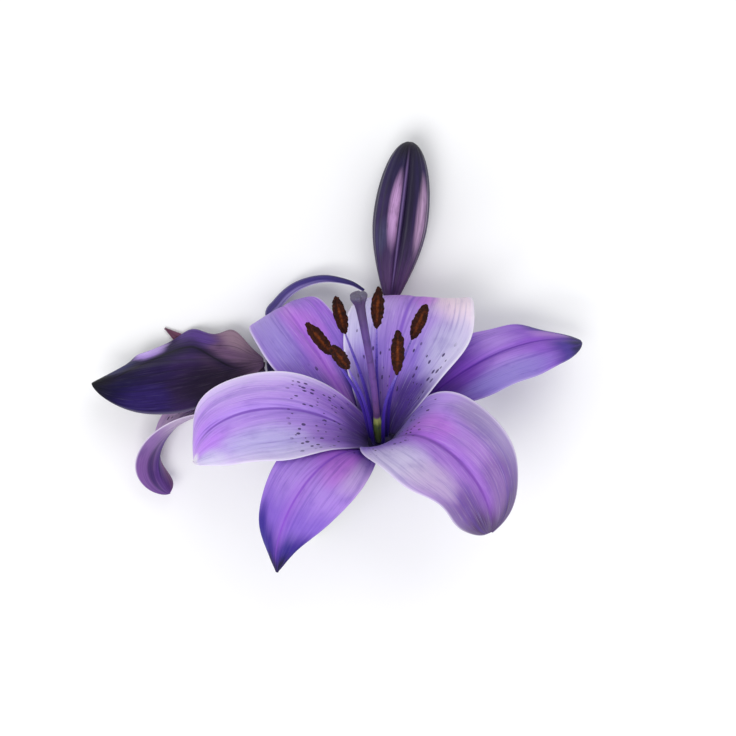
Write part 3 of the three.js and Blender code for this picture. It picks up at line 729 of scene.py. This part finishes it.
# %% Looks of the side flower's tepals
SIDE_INNER = dict(tones=[(0, "8a6aa0"), (0.3, "c4a2cc"), (0.7, "c09ccc"), (1, "9a70b4")],
                  midrib=("b08cc4", "7c5a9c", 0.4), freckles=(0.2, 0.8, 0.16))
SIDE_OUTER = dict(tones=[(0, "5c4a50"), (0.25, "44305c"), (0.6, "32225a"), (1, "1a1446")],
                  midrib=("2c1c50", "140c2c", 0.8), veins=0.5, vein_colour="1a1030", rim=0.15,
                  rim_colour="8a6cc0", bloom=0.03, glow=0.02, sheen=0.0, gloss=0.14)
SIDE_LOOKS = {
    # Painted shade: the dark patches below the midrib (sides -0.5 and -0.75) and the blue-black to black tip,
    # in the last tones and the patches at 0.84 and 0.93 along. The lighter patch at side 0.85 is partly tone
    # and partly painted light on the upper lobe. The mauve base and the pale lip are the sepal's own colour.
    "side_sepal_upper": dict(
        tones=[(0, "8c7084"), (0.2, "745478"), (0.4, "3c245c"), (0.6, "241446"), (0.82, "150c3c"),
               (1, "030308")],
        midrib=("160a30", "080414", 0.85), arched=0.72, veins=0.4, vein_colour="100624", rim=0.1, bloom=0.03,
        glow=0.0, sheen=0.0, gloss=0.12,
        patches=[(-0.5, 0.3, 0.8, 0.3, "1c1028", 0.95), (0.85, 0.38, 0.6, 0.16, "58388c", 0.9),
                 (0.45, 0.84, 0.6, 0.12, "0c0758", 0.9), (-0.1, 0.93, 0.35, 0.1, "030208", 0.95),
                 (-0.75, 0.68, 0.5, 0.2, "2c1c60", 0.8), (0.9, 0.13, 0.6, 0.12, "9c8090", 0.85),
                 (0.7, 0.66, 0.4, 0.12, "b090e0", 1.0), (1.0, 0.64, 0.5, 0.12, "c4aae8", 1.0)]),
    "side_petal_lower": dict(
        tones=[(0, "b8a0c0"), (0.55, "bca6c6"), (0.68, "8c68a8"), (0.8, "7c5498"), (1, "643e84")],
        midrib=("4a2c84", "1c0c50", 0.7), veins=0.4, vein_colour="3a2068", bloom=0.06,
        glow=0.04, sheen=0.0, gloss=0.2,
        patches=[(-0.8, 0.8, 0.5, 0.3, "8a5c84", 0.9), (0.4, 0.85, 0.2, 0.2, "20104c", 0.7)]),
    "side_sepal_under": dict(
        tones=[(0, "5c4a50"), (0.4, "5a3450"), (0.8, "74405e"), (1, "5a2c44")],
        midrib=("5a3050", "3c1c38", 0.6), veins=0.4, vein_colour="3a1830", rim=0.2, bloom=0.05,
        glow=0.05, sheen=0.0, gloss=0.2),
}
for seed, (node, shape) in enumerate(SIDE_SHAPES.items(), 11):
    outer_looks = SIDE_LOOKS.get(node, SIDE_OUTER)
    inner_looks = SIDE_INNER if whorl_of(node) == "petal" else dict(outer_looks, patches=())
    grow_tepal(node, side_flower, shape, SIDE_SIZES, inner_looks, outer_looks, seed)

# %% [markdown]
# ## Round stalks that bend
# A filament, a style and a flower stalk are all the same thing at heart: a round rod that changes its
# thickness and bends. By hand you would extrude a disc upwards ring by ring, and only then bend it. So the
# rod is built standing straight on the origin, its height is kept as an attribute for the finish, and a
# Curve modifier lays it along a smooth curve.

# %% A straight round piece, ring by ring
def stack(name, rings, sides):
    """A disc extruded upwards: rings are (height, radius) in mm, and the last one closes the top."""
    bpy.ops.object.select_all(action="DESELECT")
    height, radius = rings[0]
    bpy.ops.mesh.primitive_circle_add(vertices=sides, radius=radius * MM, fill_type="NGON")
    piece = bpy.context.object
    piece.name = name
    bpy.ops.object.mode_set(mode="EDIT")
    bpy.ops.mesh.select_all(action="SELECT")
    bpy.ops.transform.translate(value=(0, 0, height * MM))
    for next_height, next_radius in rings[1:]:
        lift = (0, 0, (next_height - height) * MM)
        bpy.ops.mesh.extrude_region_move(TRANSFORM_OT_translate={"value": lift})
        grow = next_radius / radius
        bpy.ops.transform.resize(value=(grow, grow, 1), center_override=(0, 0, next_height * MM))
        height, radius = next_height, next_radius
    bpy.ops.mesh.select_all(action="SELECT")
    bpy.ops.mesh.normals_make_consistent(inside=False)
    bpy.ops.object.mode_set(mode="OBJECT")
    return piece


def keep_height(piece):
    """The share of the piece's height at each corner, kept as an attribute while the piece is straight."""
    heights = np.array([corner.co.z for corner in piece.data.vertices])
    shares = (heights - heights.min()) / (heights.max() - heights.min())
    kept = piece.data.attributes.new("height", "FLOAT", "POINT")
    kept.data.foreach_set("value", shares.astype(np.float32))


def lay_along(piece, points):
    """Bends a straight piece that stands on the origin along a smooth curve through points, in metres."""
    bpy.ops.object.select_all(action="DESELECT")
    bpy.ops.curve.primitive_bezier_curve_add(location=(0, 0, 0))
    guide = bpy.context.object
    guide.data.resolution_u = 24
    guide.data.use_stretch = True
    guide.data.use_deform_bounds = True
    spline = guide.data.splines[0]
    spline.bezier_points.add(len(points) - 2)
    for knot, point in zip(spline.bezier_points, points):
        knot.co = point
        knot.handle_left_type = knot.handle_right_type = "AUTO"
    bend = piece.modifiers.new("bend", "CURVE")
    bend.object = guide
    bend.deform_axis = "POS_Z"
    bpy.context.view_layer.objects.active = piece
    bpy.ops.object.modifier_apply(modifier="bend")
    bpy.data.objects.remove(guide)


def rounded(piece, levels):
    rounder = piece.modifiers.new("rounder", "SUBSURF")
    rounder.levels = rounder.render_levels = levels
    bpy.context.view_layer.objects.active = piece
    bpy.ops.object.modifier_apply(modifier="rounder")
    piece.data.polygons.foreach_set("use_smooth", [True] * len(piece.data.polygons))


print("pieces grown so far:", len(OPEN_SHAPES) + len(SIDE_SHAPES))

# %% [markdown]
# ## Filaments
# Six filaments stand round the ovary. Each is a slim blue-violet rod, thicker at its foot, that leans out
# and narrows to a thread where the anther swings on it.

# %% The filaments' finish
def filament_skin():
    bench = Bench("filament_blue")
    height = bench.attribute("height")
    colour = bench.ramp(height, [(0, "34207c"), (0.35, "3c248c"), (0.75, "5a44b0"), (1, "8a74cc")])
    streaks = bench.grain(bench.object_place(), 900.0, 3.0)
    colour = bench.over(colour, "2a1a80", bench.times(bench.fade(streaks, 0.5, 0.3), 0.5))
    return bench.finish(colour, 0.42, streaks, 0.06, Subsurface_Weight=0.1, Subsurface_Scale=1 * MM,
                        Specular_IOR_Level=0.45)


filament_blue = filament_skin()
print("finish:", filament_blue.name)

# %% Growing the filaments
OPEN_STAMENS = ("back_left", "left", "front_left", "back", "front_right", "right")
SIDE_STAMENS = range(1, 7)
HOLD = 8.6  # from an anther's middle to the filament's tip, in mm
UPRIGHT_SHARE = 0.45  # how much a filament bends: 0 is straight, 1 leaves along the flower's axis


def long_axis(node):
    """The direction from a node's middle to its furthest corner."""
    corners = corners_of(node) - np.array(middle_of(node))
    return Vector(corners[np.argmax((corners ** 2).sum(1))]).normalized()


def anther_lean(node, foot):
    """The anther's long axis, pointed away from the flower's base."""
    axis = long_axis(node)
    return axis if axis.dot(middle_of(node) - foot) > 0 else -axis


def grow_filament(flower, prefix, stamen):
    node = f"{prefix}_filament_{stamen}"
    foot = end_of(node, -flower.axis)
    lean = anther_lean(f"{prefix}_anther_{stamen}", flower.base)
    tip = middle_of(f"{prefix}_anther_{stamen}") - lean * HOLD * MM
    length = (tip - foot).length / MM
    piece = stack(node + "_rod", [(0, 0.95), (length * 0.2, 0.9), (length * 0.5, 0.75), (length * 0.8, 0.6),
                                  (length * 0.97, 0.4), (length, 0.25)], 10)
    bpy.ops.object.mode_set(mode="EDIT")
    bpy.ops.mesh.select_all(action="SELECT")
    bpy.ops.mesh.subdivide(number_cuts=2)
    bpy.ops.object.mode_set(mode="OBJECT")
    keep_height(piece)
    piece.data.materials.append(filament_blue)
    straight = foot.lerp(tip, 0.5)
    upright = foot + flower.axis * length * 0.5 * MM
    lay_along(piece, [foot, straight.lerp(upright, UPRIGHT_SHARE), tip])
    rounded(piece, 1)
    belongs(piece, node)


for stamen in OPEN_STAMENS:
    grow_filament(open_flower, "open", stamen)
for stamen in SIDE_STAMENS:
    grow_filament(side_flower, "side", stamen)

# %% [markdown]
# ## Anthers
# A ripe lily anther is a long capsule that has split down the middle. The split shows the orange-brown
# lining, and dark pollen crumbs stick all over the rolled edges. One capsule is modelled: a sphere
# stretched to size, pointed at its ends, with its top line pushed down into the split. It is copied to each
# stamen, and each copy's pollen is pushed out by a different part of the same cloud pattern, so that no two
# are alike.

# %% The anthers' finish
def anther_skin():
    bench = Bench("pollen_brown")
    place = bench.object_place()
    lumps = bench.grain(place, 700.0, 4.0, 0.65)
    crumbs = bench.grain(place, 2600.0, 3.0, 0.6)
    colour = bench.ramp(lumps, [(0.3, "140604"), (0.5, "2e1009"), (0.72, "54220c")])
    split = bench.attribute("split")
    lining = bench.ramp(lumps, [(0.3, "3c1606"), (0.55, "7e3c12"), (0.8, "b0702c")])
    colour = bench.over(colour, lining, bench.times(bench.fade(split, 0.3, 1.0), 0.7))
    colour = bench.over(colour, "120504", bench.times(bench.fade(crumbs, 0.45, 0.3), 0.7))
    relief = bench.plus(bench.times(lumps, 0.6), bench.times(crumbs, 0.4))
    return bench.finish(colour, 0.85, relief, 0.5, Specular_IOR_Level=0.2)


ANTHER_LENGTH, ANTHER_WIDTH, ANTHER_THICKNESS = 18.5, 5.4, 3.4
SPLIT_DEPTH, SPLIT_REACH = 1.1, 0.85
bpy.ops.object.select_all(action="DESELECT")
bpy.ops.mesh.primitive_uv_sphere_add(segments=24, ring_count=24, radius=0.5)
capsule = bpy.context.object
bpy.ops.object.mode_set(mode="EDIT")
bpy.ops.mesh.select_all(action="SELECT")
bpy.ops.transform.resize(value=(ANTHER_WIDTH * MM, ANTHER_THICKNESS * MM, ANTHER_LENGTH * MM))
bpy.ops.object.mode_set(mode="OBJECT")
split_mask = capsule.data.attributes.new("split", "FLOAT", "POINT")
for corner in capsule.data.vertices:
    x, y, z = corner.co / MM
    end = abs(z) / (ANTHER_LENGTH / 2)
    open_share = max(1 - end ** 2, 0)
    near_split = math.exp(-(x / SPLIT_REACH) ** 2) * (1 if y > 0 else 0) * open_share
    split_mask.data[corner.index].value = near_split
    point_share = 1 - 0.25 * end ** 4
    corner.co = Vector((x * point_share, y - near_split * SPLIT_DEPTH, z)) * MM
capsule.data.materials.append(anther_skin())
print("capsule corners:", len(capsule.data.vertices))

# %% Placing a capsule on each stamen
CRUMB_SIZE, CRUMB_HEIGHT = 1.3, 1.3
pollen_clouds = bpy.data.textures.new("pollen_clouds", "CLOUDS")
pollen_clouds.noise_scale = CRUMB_SIZE * MM
pollen_clouds.noise_depth = 2


def grow_anther(flower, prefix, stamen, facing):
    node = f"{prefix}_anther_{stamen}"
    lean = anther_lean(node, flower.base)
    front = (facing - lean * facing.dot(lean)).normalized()
    across = front.cross(lean)
    bpy.ops.object.select_all(action="DESELECT")
    capsule.select_set(True)
    bpy.context.view_layer.objects.active = capsule
    bpy.ops.object.duplicate()
    piece = bpy.context.object
    piece.name = node + "_pollen"
    turn = Matrix((across, front, lean)).transposed().to_4x4()
    piece.matrix_world = Matrix.Translation(middle_of(node)) @ turn
    bpy.ops.object.transform_apply(location=True, rotation=True, scale=True)
    rounded(piece, 1)
    crumble = piece.modifiers.new("crumble", "DISPLACE")
    crumble.texture = pollen_clouds
    crumble.texture_coords = "GLOBAL"
    crumble.strength = CRUMB_HEIGHT * MM
    crumble.mid_level = 0.55
    bpy.ops.object.modifier_apply(modifier="crumble")
    belongs(piece, node)


for stamen in OPEN_STAMENS:
    grow_anther(open_flower, "open", stamen, Vector((0, 0, 1)))
for stamen in SIDE_STAMENS:
    grow_anther(side_flower, "side", stamen, (middle_of(f"side_anther_{stamen}") - side_base).cross(SIDE_AXIS))
bpy.data.objects.remove(capsule)

# %% [markdown]
# ## Pistils
# The pistil is one grown piece: a green ovary with six ribs, a long violet style that thickens towards the
# top, and a grey stigma with three lobes. It is stacked ring by ring. Every fourth line of corners on the
# ovary is drawn in to part the ribs, and every eighth on the stigma to part the lobes, before the whole is
# laid along its bend.

# %% The pistil's finish
def pistil_skin(edge):
    """edge is the share of the pistil's height where the ovary ends."""
    bench = Bench("pistil")
    height = bench.attribute("height")
    tones = [(0, "5a6a34"), (edge * 0.8, "66783a"), (edge, "a8b060"), (edge + 0.03, "6e4a78"), (0.45, "6c4890"),
             (0.75, "5c3c88"), (0.95, "4c3664"), (1, "5e566e")]
    colour = bench.ramp(height, tones)
    place = bench.object_place()
    fluff = bench.grain(place, 1500.0, 4.0, 0.7)
    broad = bench.grain(place, 260.0, 2.0)
    colour = bench.over(colour, "35245c", bench.times(bench.fade(broad, 0.5, 0.3), 0.5))
    stigma = bench.fade(height, 0.955, 0.97)
    colour = bench.over(colour, "6e6a84", bench.times(bench.fade(fluff, 0.5, 0.7), stigma))
    relief = bench.times(fluff, bench.plus(bench.times(stigma, 0.9), 0.1))
    return bench.finish(colour, 0.5, relief, 0.4, Subsurface_Weight=0.08, Subsurface_Scale=1 * MM)


print("finishes before the pistils':", len(bpy.data.materials))

# %% Growing the pistils
PISTIL_SIDES = 24
RIB_EVERY, LOBE_EVERY = 4, 8  # lines of corners from one furrow to the next
OVARY_RADIUS = 2.1
OVARY_LENGTH = 15


def draw_in(piece, low, high, every, keep):
    """Draws one line of corners in every few in towards the axis, between two heights in mm."""
    bpy.ops.object.mode_set(mode="EDIT")
    bpy.ops.mesh.select_all(action="DESELECT")
    bpy.ops.object.mode_set(mode="OBJECT")
    spacing = 2 * math.pi / PISTIL_SIDES
    for corner in piece.data.vertices:
        line = round(math.atan2(corner.co.y, corner.co.x) / spacing) % every
        corner.select = low * MM < corner.co.z < high * MM and line == 0
    bpy.ops.object.mode_set(mode="EDIT")
    bpy.ops.transform.resize(value=(keep, keep, 1), center_override=(0, 0, 0))
    bpy.ops.object.mode_set(mode="OBJECT")


def grow_pistil(node, flower, stigma_radius):
    corners = corners_of(node)
    away = corners[np.argmax(((corners - np.array(flower.base)) ** 2).sum(1))]
    tip = Vector(away) - (Vector(away) - flower.base).normalized() * 1.5 * MM
    reach = (tip - flower.base).length / MM
    style = reach - OVARY_LENGTH
    ovary_rings = [(0, 1.5), (0.6, OVARY_RADIUS), (4, OVARY_RADIUS * 1.05), (9, OVARY_RADIUS),
                   (OVARY_LENGTH - 1, 1.9), (OVARY_LENGTH, 1.45)]
    style_rings = [(OVARY_LENGTH + style * share, radius) for share, radius in
                   ((0.1, 1.35), (0.3, 1.35), (0.5, 1.45), (0.7, 1.6))] + [(reach - 7, 1.85), (reach - 4, 2.2)]
    stigma_rings = [(reach - 2, stigma_radius * 0.85), (reach - 0.6, stigma_radius),
                    (reach + 0.4, stigma_radius * 0.9), (reach + 0.9, stigma_radius * 0.55), (reach + 0.7, 0.4)]
    piece = stack(node + "_whole", ovary_rings + style_rings + stigma_rings, PISTIL_SIDES)
    draw_in(piece, 1, OVARY_LENGTH - 0.5, RIB_EVERY, 0.72)
    draw_in(piece, reach - 2.5, reach + 2, LOBE_EVERY, 0.55)
    keep_height(piece)
    piece.data.materials.append(pistil_skin(OVARY_LENGTH / reach))
    bend = flower.base + flower.axis * (OVARY_LENGTH + style * 0.4) * MM
    lay_along(piece, [flower.base, flower.base + flower.axis * OVARY_LENGTH * MM, bend, tip])
    rounded(piece, 2)
    belongs(piece, node)


grow_pistil("open_pistil", open_flower, 3.9)
grow_pistil("side_pistil", side_flower, 2.8)

# %% [markdown]
# ## The stem and the flower stalks
# The stem is firm and round with a few long ribs, and it ends in a clean slanting cut that shows the pale
# pith. Each stalk leaves it, bends up and widens into the receptacle that carries the flower.

# %% The green finish
def stalk_skin():
    bench = Bench("stalk_green")
    place = bench.object_place()
    broad = bench.grain(place, 60.0, 3.0)
    fine = bench.grain(place, 900.0, 4.0, 0.6)
    colour = bench.ramp(broad, [(0.3, "46582a"), (0.5, "5c7034"), (0.7, "6e6a4c")])
    colour = bench.over(colour, "33421e", bench.times(bench.fade(fine, 0.5, 0.3), 0.5))
    colour = bench.over(colour, "5c4470", bench.times(bench.fade(broad, 0.52, 0.7), 0.6))
    # Painted shade: the top few hundredths of a piece's height, the receptacle that sits in the throat, are
    # laid over dark purple to stand for the throat's shade.
    colour = bench.over(colour, "2c2050", bench.fade(bench.attribute("height"), 0.93, 0.975))
    return bench.finish(colour, 0.48, fine, 0.12, Subsurface_Weight=0.05, Subsurface_Scale=1 * MM)


def pith_skin():
    bench = Bench("cut_pith")
    place = bench.object_place()
    pores = bench.grain(place, 1800.0, 3.0, 0.6)
    colour = bench.ramp(pores, [(0.3, "8a9a5c"), (0.5, "c2cc96"), (0.7, "dfe3bf")])
    return bench.finish(colour, 0.7, pores, 0.25)


stalk_green = stalk_skin()
cut_pith = pith_skin()
print("finishes:", stalk_green.name, cut_pith.name)

# %% Growing the stem and the stalks
STEM_RADIUS, STALK_RADIUS = 3.5, 2.1
STALK_SIDES = 24


def ribbed(piece, keep):
    """Draws in every fourth line of a stalk, which leaves long soft ribs."""
    for corner in piece.data.vertices:
        line = round(math.atan2(corner.co.y, corner.co.x) / (2 * math.pi / STALK_SIDES)) % 4
        if line == 0:
            corner.co.x *= keep
            corner.co.y *= keep


def grow_stalk(node, points, cap_radius, cap_height):
    """A stalk along points, in metres, that widens into a receptacle."""
    length = sum((second - first).length for first, second in zip(points, points[1:])) / MM
    plain = [(length * share, STALK_RADIUS * swell) for share, swell in
             ((0, 0.9), (0.03, 1.0), (0.2, 0.97), (0.4, 1.02), (0.6, 0.98), (0.8, 1.0))]
    plain = [ring for ring in plain if ring[0] < length - cap_height - 1]
    cap = [(length - cap_height - 0.5, STALK_RADIUS),
           (length - cap_height * 0.5, lerp(STALK_RADIUS, cap_radius, 0.75)),
           (length - 1.2, cap_radius), (length - 0.2, cap_radius * 0.95), (length, cap_radius * 0.8)]
    piece = stack(node + "_green", plain + cap, STALK_SIDES)
    ribbed(piece, 0.9)
    keep_height(piece)
    piece.data.materials.append(stalk_green)
    lay_along(piece, points)
    rounded(piece, 2)
    belongs(piece, node)


def on_table(x, y, z):
    """A point counted from the one on the table under the open flower's base, with its height, in mm."""
    return Vector((open_base.x + x * MM, open_base.y + y * MM, z * MM))


STEM_WAY = Vector((24, 33, 4.5)).normalized()
stem_end = end_of("stem", -STEM_WAY)
stem_top = end_of("stem", STEM_WAY)
stem_length = (stem_top - stem_end).length / MM
stem_rings = [(stem_length * share, STEM_RADIUS * swell) for share, swell in
              ((0, 0.96), (0.04, 1.0), (0.2, 0.98), (0.4, 1.0), (0.6, 0.99), (0.8, 1.03), (0.93, 1.08),
               (0.99, 0.9))]
stem_rings += [(stem_length + 1, STEM_RADIUS * 0.6), (stem_length + 1.6, 0.8)]
stem = stack("cut_stem", stem_rings, STALK_SIDES)
ribbed(stem, 0.93)
print("the stem is", round(stem_length), "mm long")

# %% [markdown]
# The knife leaves a flat cut. The disc at the stem's foot is inset to mark off the thin green skin from the
# pith, and leans a little, as a hand holds the knife.

# %% The cut
CUT_EDGE, CUT_SKIN, CUT_RING = 0.15, 0.5, 1.2  # how far each inset goes, in mm
CUT_SLANT = 0.35
bpy.context.view_layer.objects.active = stem
bpy.ops.object.mode_set(mode="EDIT")
bpy.ops.mesh.select_mode(type="FACE")
bpy.ops.mesh.select_all(action="DESELECT")
bpy.ops.object.mode_set(mode="OBJECT")
for face in stem.data.polygons:
    face.select = face.normal.z < -0.9 and face.center.z < FLAT_END
bpy.ops.object.mode_set(mode="EDIT")
for inset in (CUT_EDGE, CUT_SKIN, CUT_RING):
    bpy.ops.mesh.inset(thickness=inset * MM)
bpy.ops.mesh.select_mode(type="VERT")
bpy.ops.object.mode_set(mode="OBJECT")
keep_height(stem)
stem.data.materials.append(stalk_green)
stem.data.materials.append(cut_pith)
for face in stem.data.polygons:
    off_axis = math.hypot(face.center.x, face.center.y)
    face.material_index = int(face.normal.z < -0.9 and off_axis < (STEM_RADIUS - CUT_SKIN) * MM)
for corner in stem.data.vertices:
    if corner.co.z < FLAT_END:
        corner.co.z += corner.co.x * CUT_SLANT
STEM_BOW = Vector((2, -1, 0))  # at its middle, in mm
lay_along(stem, [stem_end, stem_end.lerp(stem_top, 0.5) + STEM_BOW * MM, stem_top + STEM_WAY * MM])
rounded(stem, 2)
belongs(stem, "stem")

# %% The three flower stalks
NECK = 11  # how far below its base point a flower's stalk already runs along the flower's axis, in mm


def along_stem(share):
    return stem_top.lerp(stem_end, share)


open_top = open_base - OPEN_AXIS * RECEPTACLE_GAP
side_top = side_base - SIDE_AXIS * RECEPTACLE_GAP
bud_top = bud_base - BUD_AXIS * RECEPTACLE_GAP
open_neck = open_base - OPEN_AXIS * NECK * MM
side_neck = side_base - SIDE_AXIS * NECK * MM
grow_stalk("open_flower_stalk", [along_stem(0.02), on_table(-3, -8, 15.5), open_neck, open_top], 7.5, 5)
grow_stalk("side_flower_stalk", [along_stem(0.3), on_table(-22, 8, 10), side_neck, side_top], 6.6, 5)
grow_stalk("bud_stalk", [along_stem(0.14), on_table(-9, 8, 6), on_table(-2, 32, 5), bud_top], 3.2, 4)

# %% [markdown]
# ## The bud
# A closed bud is six tepals wrapped round each other. The three sepals are thick, with a lip along each
# margin, and meet in three long grooves, where the midrib of a petal shows as a thin ridge. Each is a flat
# grid wrapped round the bud's axis: across becomes an angle and along a height, and the radius follows the
# bud's outline.

# %% The bud's outline and finish
BUD_LENGTH, BUD_RADIUS, BUD_BASE_RADIUS, BUD_TIP_RADIUS = 76, 12.2, 2.8, 0.5
BUD_FLESH = 1.3
BUD_GIRTH = 24  # of one tepal, which the veins are spaced for


def bud_radius(share):
    swell = math.sin(math.pi * share ** 1.23)
    body = BUD_RADIUS * swell ** (0.8 if share < 0.57 else 0.42)
    return max(body, lerp(BUD_BASE_RADIUS, BUD_TIP_RADIUS, share))


BUD_LOOKS = dict(
    tones=[(0, "684c7c"), (0.2, "543a66"), (0.42, "3c2854"), (0.6, "2e1c4c"), (0.85, "1e1240"), (1, "100a1c")],
    midrib=("3c2c60", "20123c", 0.4), veins=0.5, vein_colour="140c28", rim=0.0, bloom=0.02,
    glow=0.0, sheen=0.0, gloss=0.3, roughness=0.36)
BUD_PETAL_LOOKS = dict(BUD_LOOKS, tones=[(0, "3c2c4c"), (0.5, "241836"), (1, "181020")],
                       midrib=("4c3868", "6c5488", 0.7))
# Most of these patches are painted light: the pale pinkish ones beside the left groove and at the right edge
# are painted highlights, the greyish blue one on the left sepal is a painted sheen, and the darkest ones,
# beside a groove and on a side that turns away, are painted shade. The others are tone.
BUD_PAINTED_LIGHT_AND_TONE = {
    "bud_sepal_1": [(-0.85, 0.7, 0.3, 0.4, "140a28", 0.85), (0.1, 0.22, 0.5, 0.22, "5c3858", 0.6),
                    (-0.15, 0.58, 0.42, 0.28, "cca4cc", 0.95)],
    "bud_sepal_2": [(0.0, 0.6, 0.3, 0.3, "604880", 0.6)],
    "bud_sepal_3": [(-0.4, 0.75, 0.6, 0.3, "160c34", 0.8), (0.3, 0.46, 0.45, 0.12, "44426a", 0.8),
                    (0.8, 0.6, 0.3, 0.27, "c498cc", 0.92)],
}
print("the bud is", BUD_LENGTH, "mm long and", round(2 * bud_radius(0.57), 1), "mm thick")

# %% Wrapping the six tepals
NEAR_AXIS = 0.25  # the least distance from the bud's axis, so that the tip stays closed and doesn't fold


def wrap(node, azimuth, half_angle, profile, looks, seed):
    """A blade wrapped round the bud's axis; profile(across, along) is added to the bud's radius."""
    def place_at(across, along):
        radius = max(bud_radius(along) + profile(across, along), NEAR_AXIS)
        angle = azimuth + across * half_angle
        return bud_base / MM + BUD_AXIS * (along * BUD_LENGTH) + bud.outwards(angle) * radius

    sheet = blade(node + "_skin", place_at)
    skin = tepal_skin(node + "_finish", looks, BUD_GIRTH, BUD_LENGTH, seed)
    give_flesh(sheet, BUD_FLESH, skin, skin)
    belongs(sheet, node)


def sepal_profile(across, along):
    body = math.sin(math.pi * along) ** 0.5
    lip = 0.55 * math.exp(-((abs(across) - 0.84) / 0.1) ** 2)
    tuck = -2.4 * abs(across) ** 14
    ridge = 0.35 * math.exp(-(across / 0.06) ** 2)
    furrow = -0.3 * math.exp(-((abs(across) - 0.2) / 0.09) ** 2)
    grooves = 0.1 * math.cos(across * 40) * (1 - along)
    return -BUD_FLESH / 2 + body * (lip + tuck + ridge + furrow + grooves)


def petal_profile(across, along):
    body = math.sin(math.pi * along) ** 0.5
    return -2.3 * body - 0.4 + 1.2 * body * math.exp(-(across / 0.05) ** 2)


SEPAL_HALF_ANGLE, PETAL_HALF_ANGLE = 55.5, 50
for i in range(3):
    sepal_looks = dict(BUD_LOOKS, patches=BUD_PAINTED_LIGHT_AND_TONE[f"bud_sepal_{i + 1}"])
    wrap(f"bud_sepal_{i + 1}", 60 + 120 * i, SEPAL_HALF_ANGLE, sepal_profile, sepal_looks, 21 + i)
    wrap(f"bud_petal_{i + 1}", 120 * i, PETAL_HALF_ANGLE, petal_profile, BUD_PETAL_LOOKS, 31 + i)

# %% [markdown]
# ## The leaf
# One narrow leaf arches up behind the flower and stands on its edge. It is folded a little along its midrib,
# and its dark face is framed by a pale margin. Its blade is a grid too, carried along the same curve as in
# the frame.

# %% The leaf's way and its blade
LEAF_WIDTH, LEAF_LENGTH, LEAF_FLESH = 9, 150, 0.8
LEAF_LEAN = 36  # from upright, in degrees
LEAF_STEPS = 200
WALK_STEPS = 40  # between two knots of the curve
LEAF_WAY = [(-15, 0, 5), (-31, 28, 5), (-48, 52, 5), (-45.5, 59.5, 6), (-37, 67, 8), (-25, 70.5, 9),
            (-13, 68.5, 10), (-6, 64.5, 11)]


def curve_through(points, count):
    """Evenly spaced places on a smooth curve through points."""
    knots = [points[0] * 2 - points[1], *points, points[-1] * 2 - points[-2]]
    walk = []
    for a, b, c, d in zip(knots, knots[1:], knots[2:], knots[3:]):
        for i in range(WALK_STEPS):
            t = i / WALK_STEPS
            walk.append(0.5 * (2 * b + (c - a) * t + (2 * a - 5 * b + 4 * c - d) * t ** 2
                               + (3 * b - a - 3 * c + d) * t ** 3))
    walk.append(points[-1])
    gaps = [0.0]
    for first, second in zip(walk, walk[1:]):
        gaps.append(gaps[-1] + (second - first).length)
    places = []
    for i in range(count + 1):
        distance = gaps[-1] * i / count
        nearest = min(range(len(gaps)), key=lambda k: abs(gaps[k] - distance))
        places.append(walk[nearest])
    return places


leaf_line = curve_through([on_table(*point) / MM for point in LEAF_WAY], LEAF_STEPS)


def leaf_place(across, along):
    step = min(int(round(along * LEAF_STEPS)), LEAF_STEPS - 1)
    here, ahead = leaf_line[step], leaf_line[min(step + 3, LEAF_STEPS)]
    tangent = (ahead - leaf_line[max(step - 3, 0)]).normalized()
    normal = tangent.cross(Vector((0, 0, 1))).normalized()
    stand = Matrix.Rotation(math.radians(LEAF_LEAN), 3, tangent) @ Vector((0, 0, 1))
    width = LEAF_WIDTH / 2 * max(math.sin(math.pi * lerp(0.14, 0.97, along)) ** 0.7, 0.12)
    fold = 0.3 * width * abs(across) ** 1.3
    return here + stand * (across * width) + normal * fold


print("steps along the leaf:", len(leaf_line) - 1)

# %% Growing the leaf
# Partly painted light: the pale rim and the pale patch by the margin are in part a painted highlight along the
# lit edge, and the dark face is in part painted shade on the side that turns away.
LEAF_DARK = dict(tones=[(0, "4a5a34"), (0.3, "3c3066"), (0.6, "4a3a86"), (0.8, "38287c"), (1, "2a2058")],
                 midrib=("3a2a78", "241a58", 0.6), veins=0.45, vein_colour="22184c", rim=0.8,
                 rim_colour="b8aadc", bloom=0.05, sheen=0.0, gloss=0.25,
                 patches=[(0.9, 0.6, 0.5, 0.3, "9c8ccc", 0.7)])
leaf = blade("narrow_leaf", leaf_place)
leaf_inner = tepal_skin("leaf_inner", LEAF_DARK, LEAF_WIDTH, LEAF_LENGTH, 41)
leaf_outer = tepal_skin("leaf_outer", LEAF_DARK, LEAF_WIDTH, LEAF_LENGTH, 42)
give_flesh(leaf, LEAF_FLESH, leaf_inner, leaf_outer)
belongs(leaf, "bract_leaf")

# %% [markdown]
# ## Closing
# The box of the finished lily is compared with the imported model's, which it may pass by a little and no more.

# %% Both boxes
visual_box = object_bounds()
for low, high, cad_low, cad_high in zip(*visual_box, *cad_box):
    print("lowest apart", round((low - cad_low) / MM, 2), "highest apart", round((high - cad_high) / MM, 2))
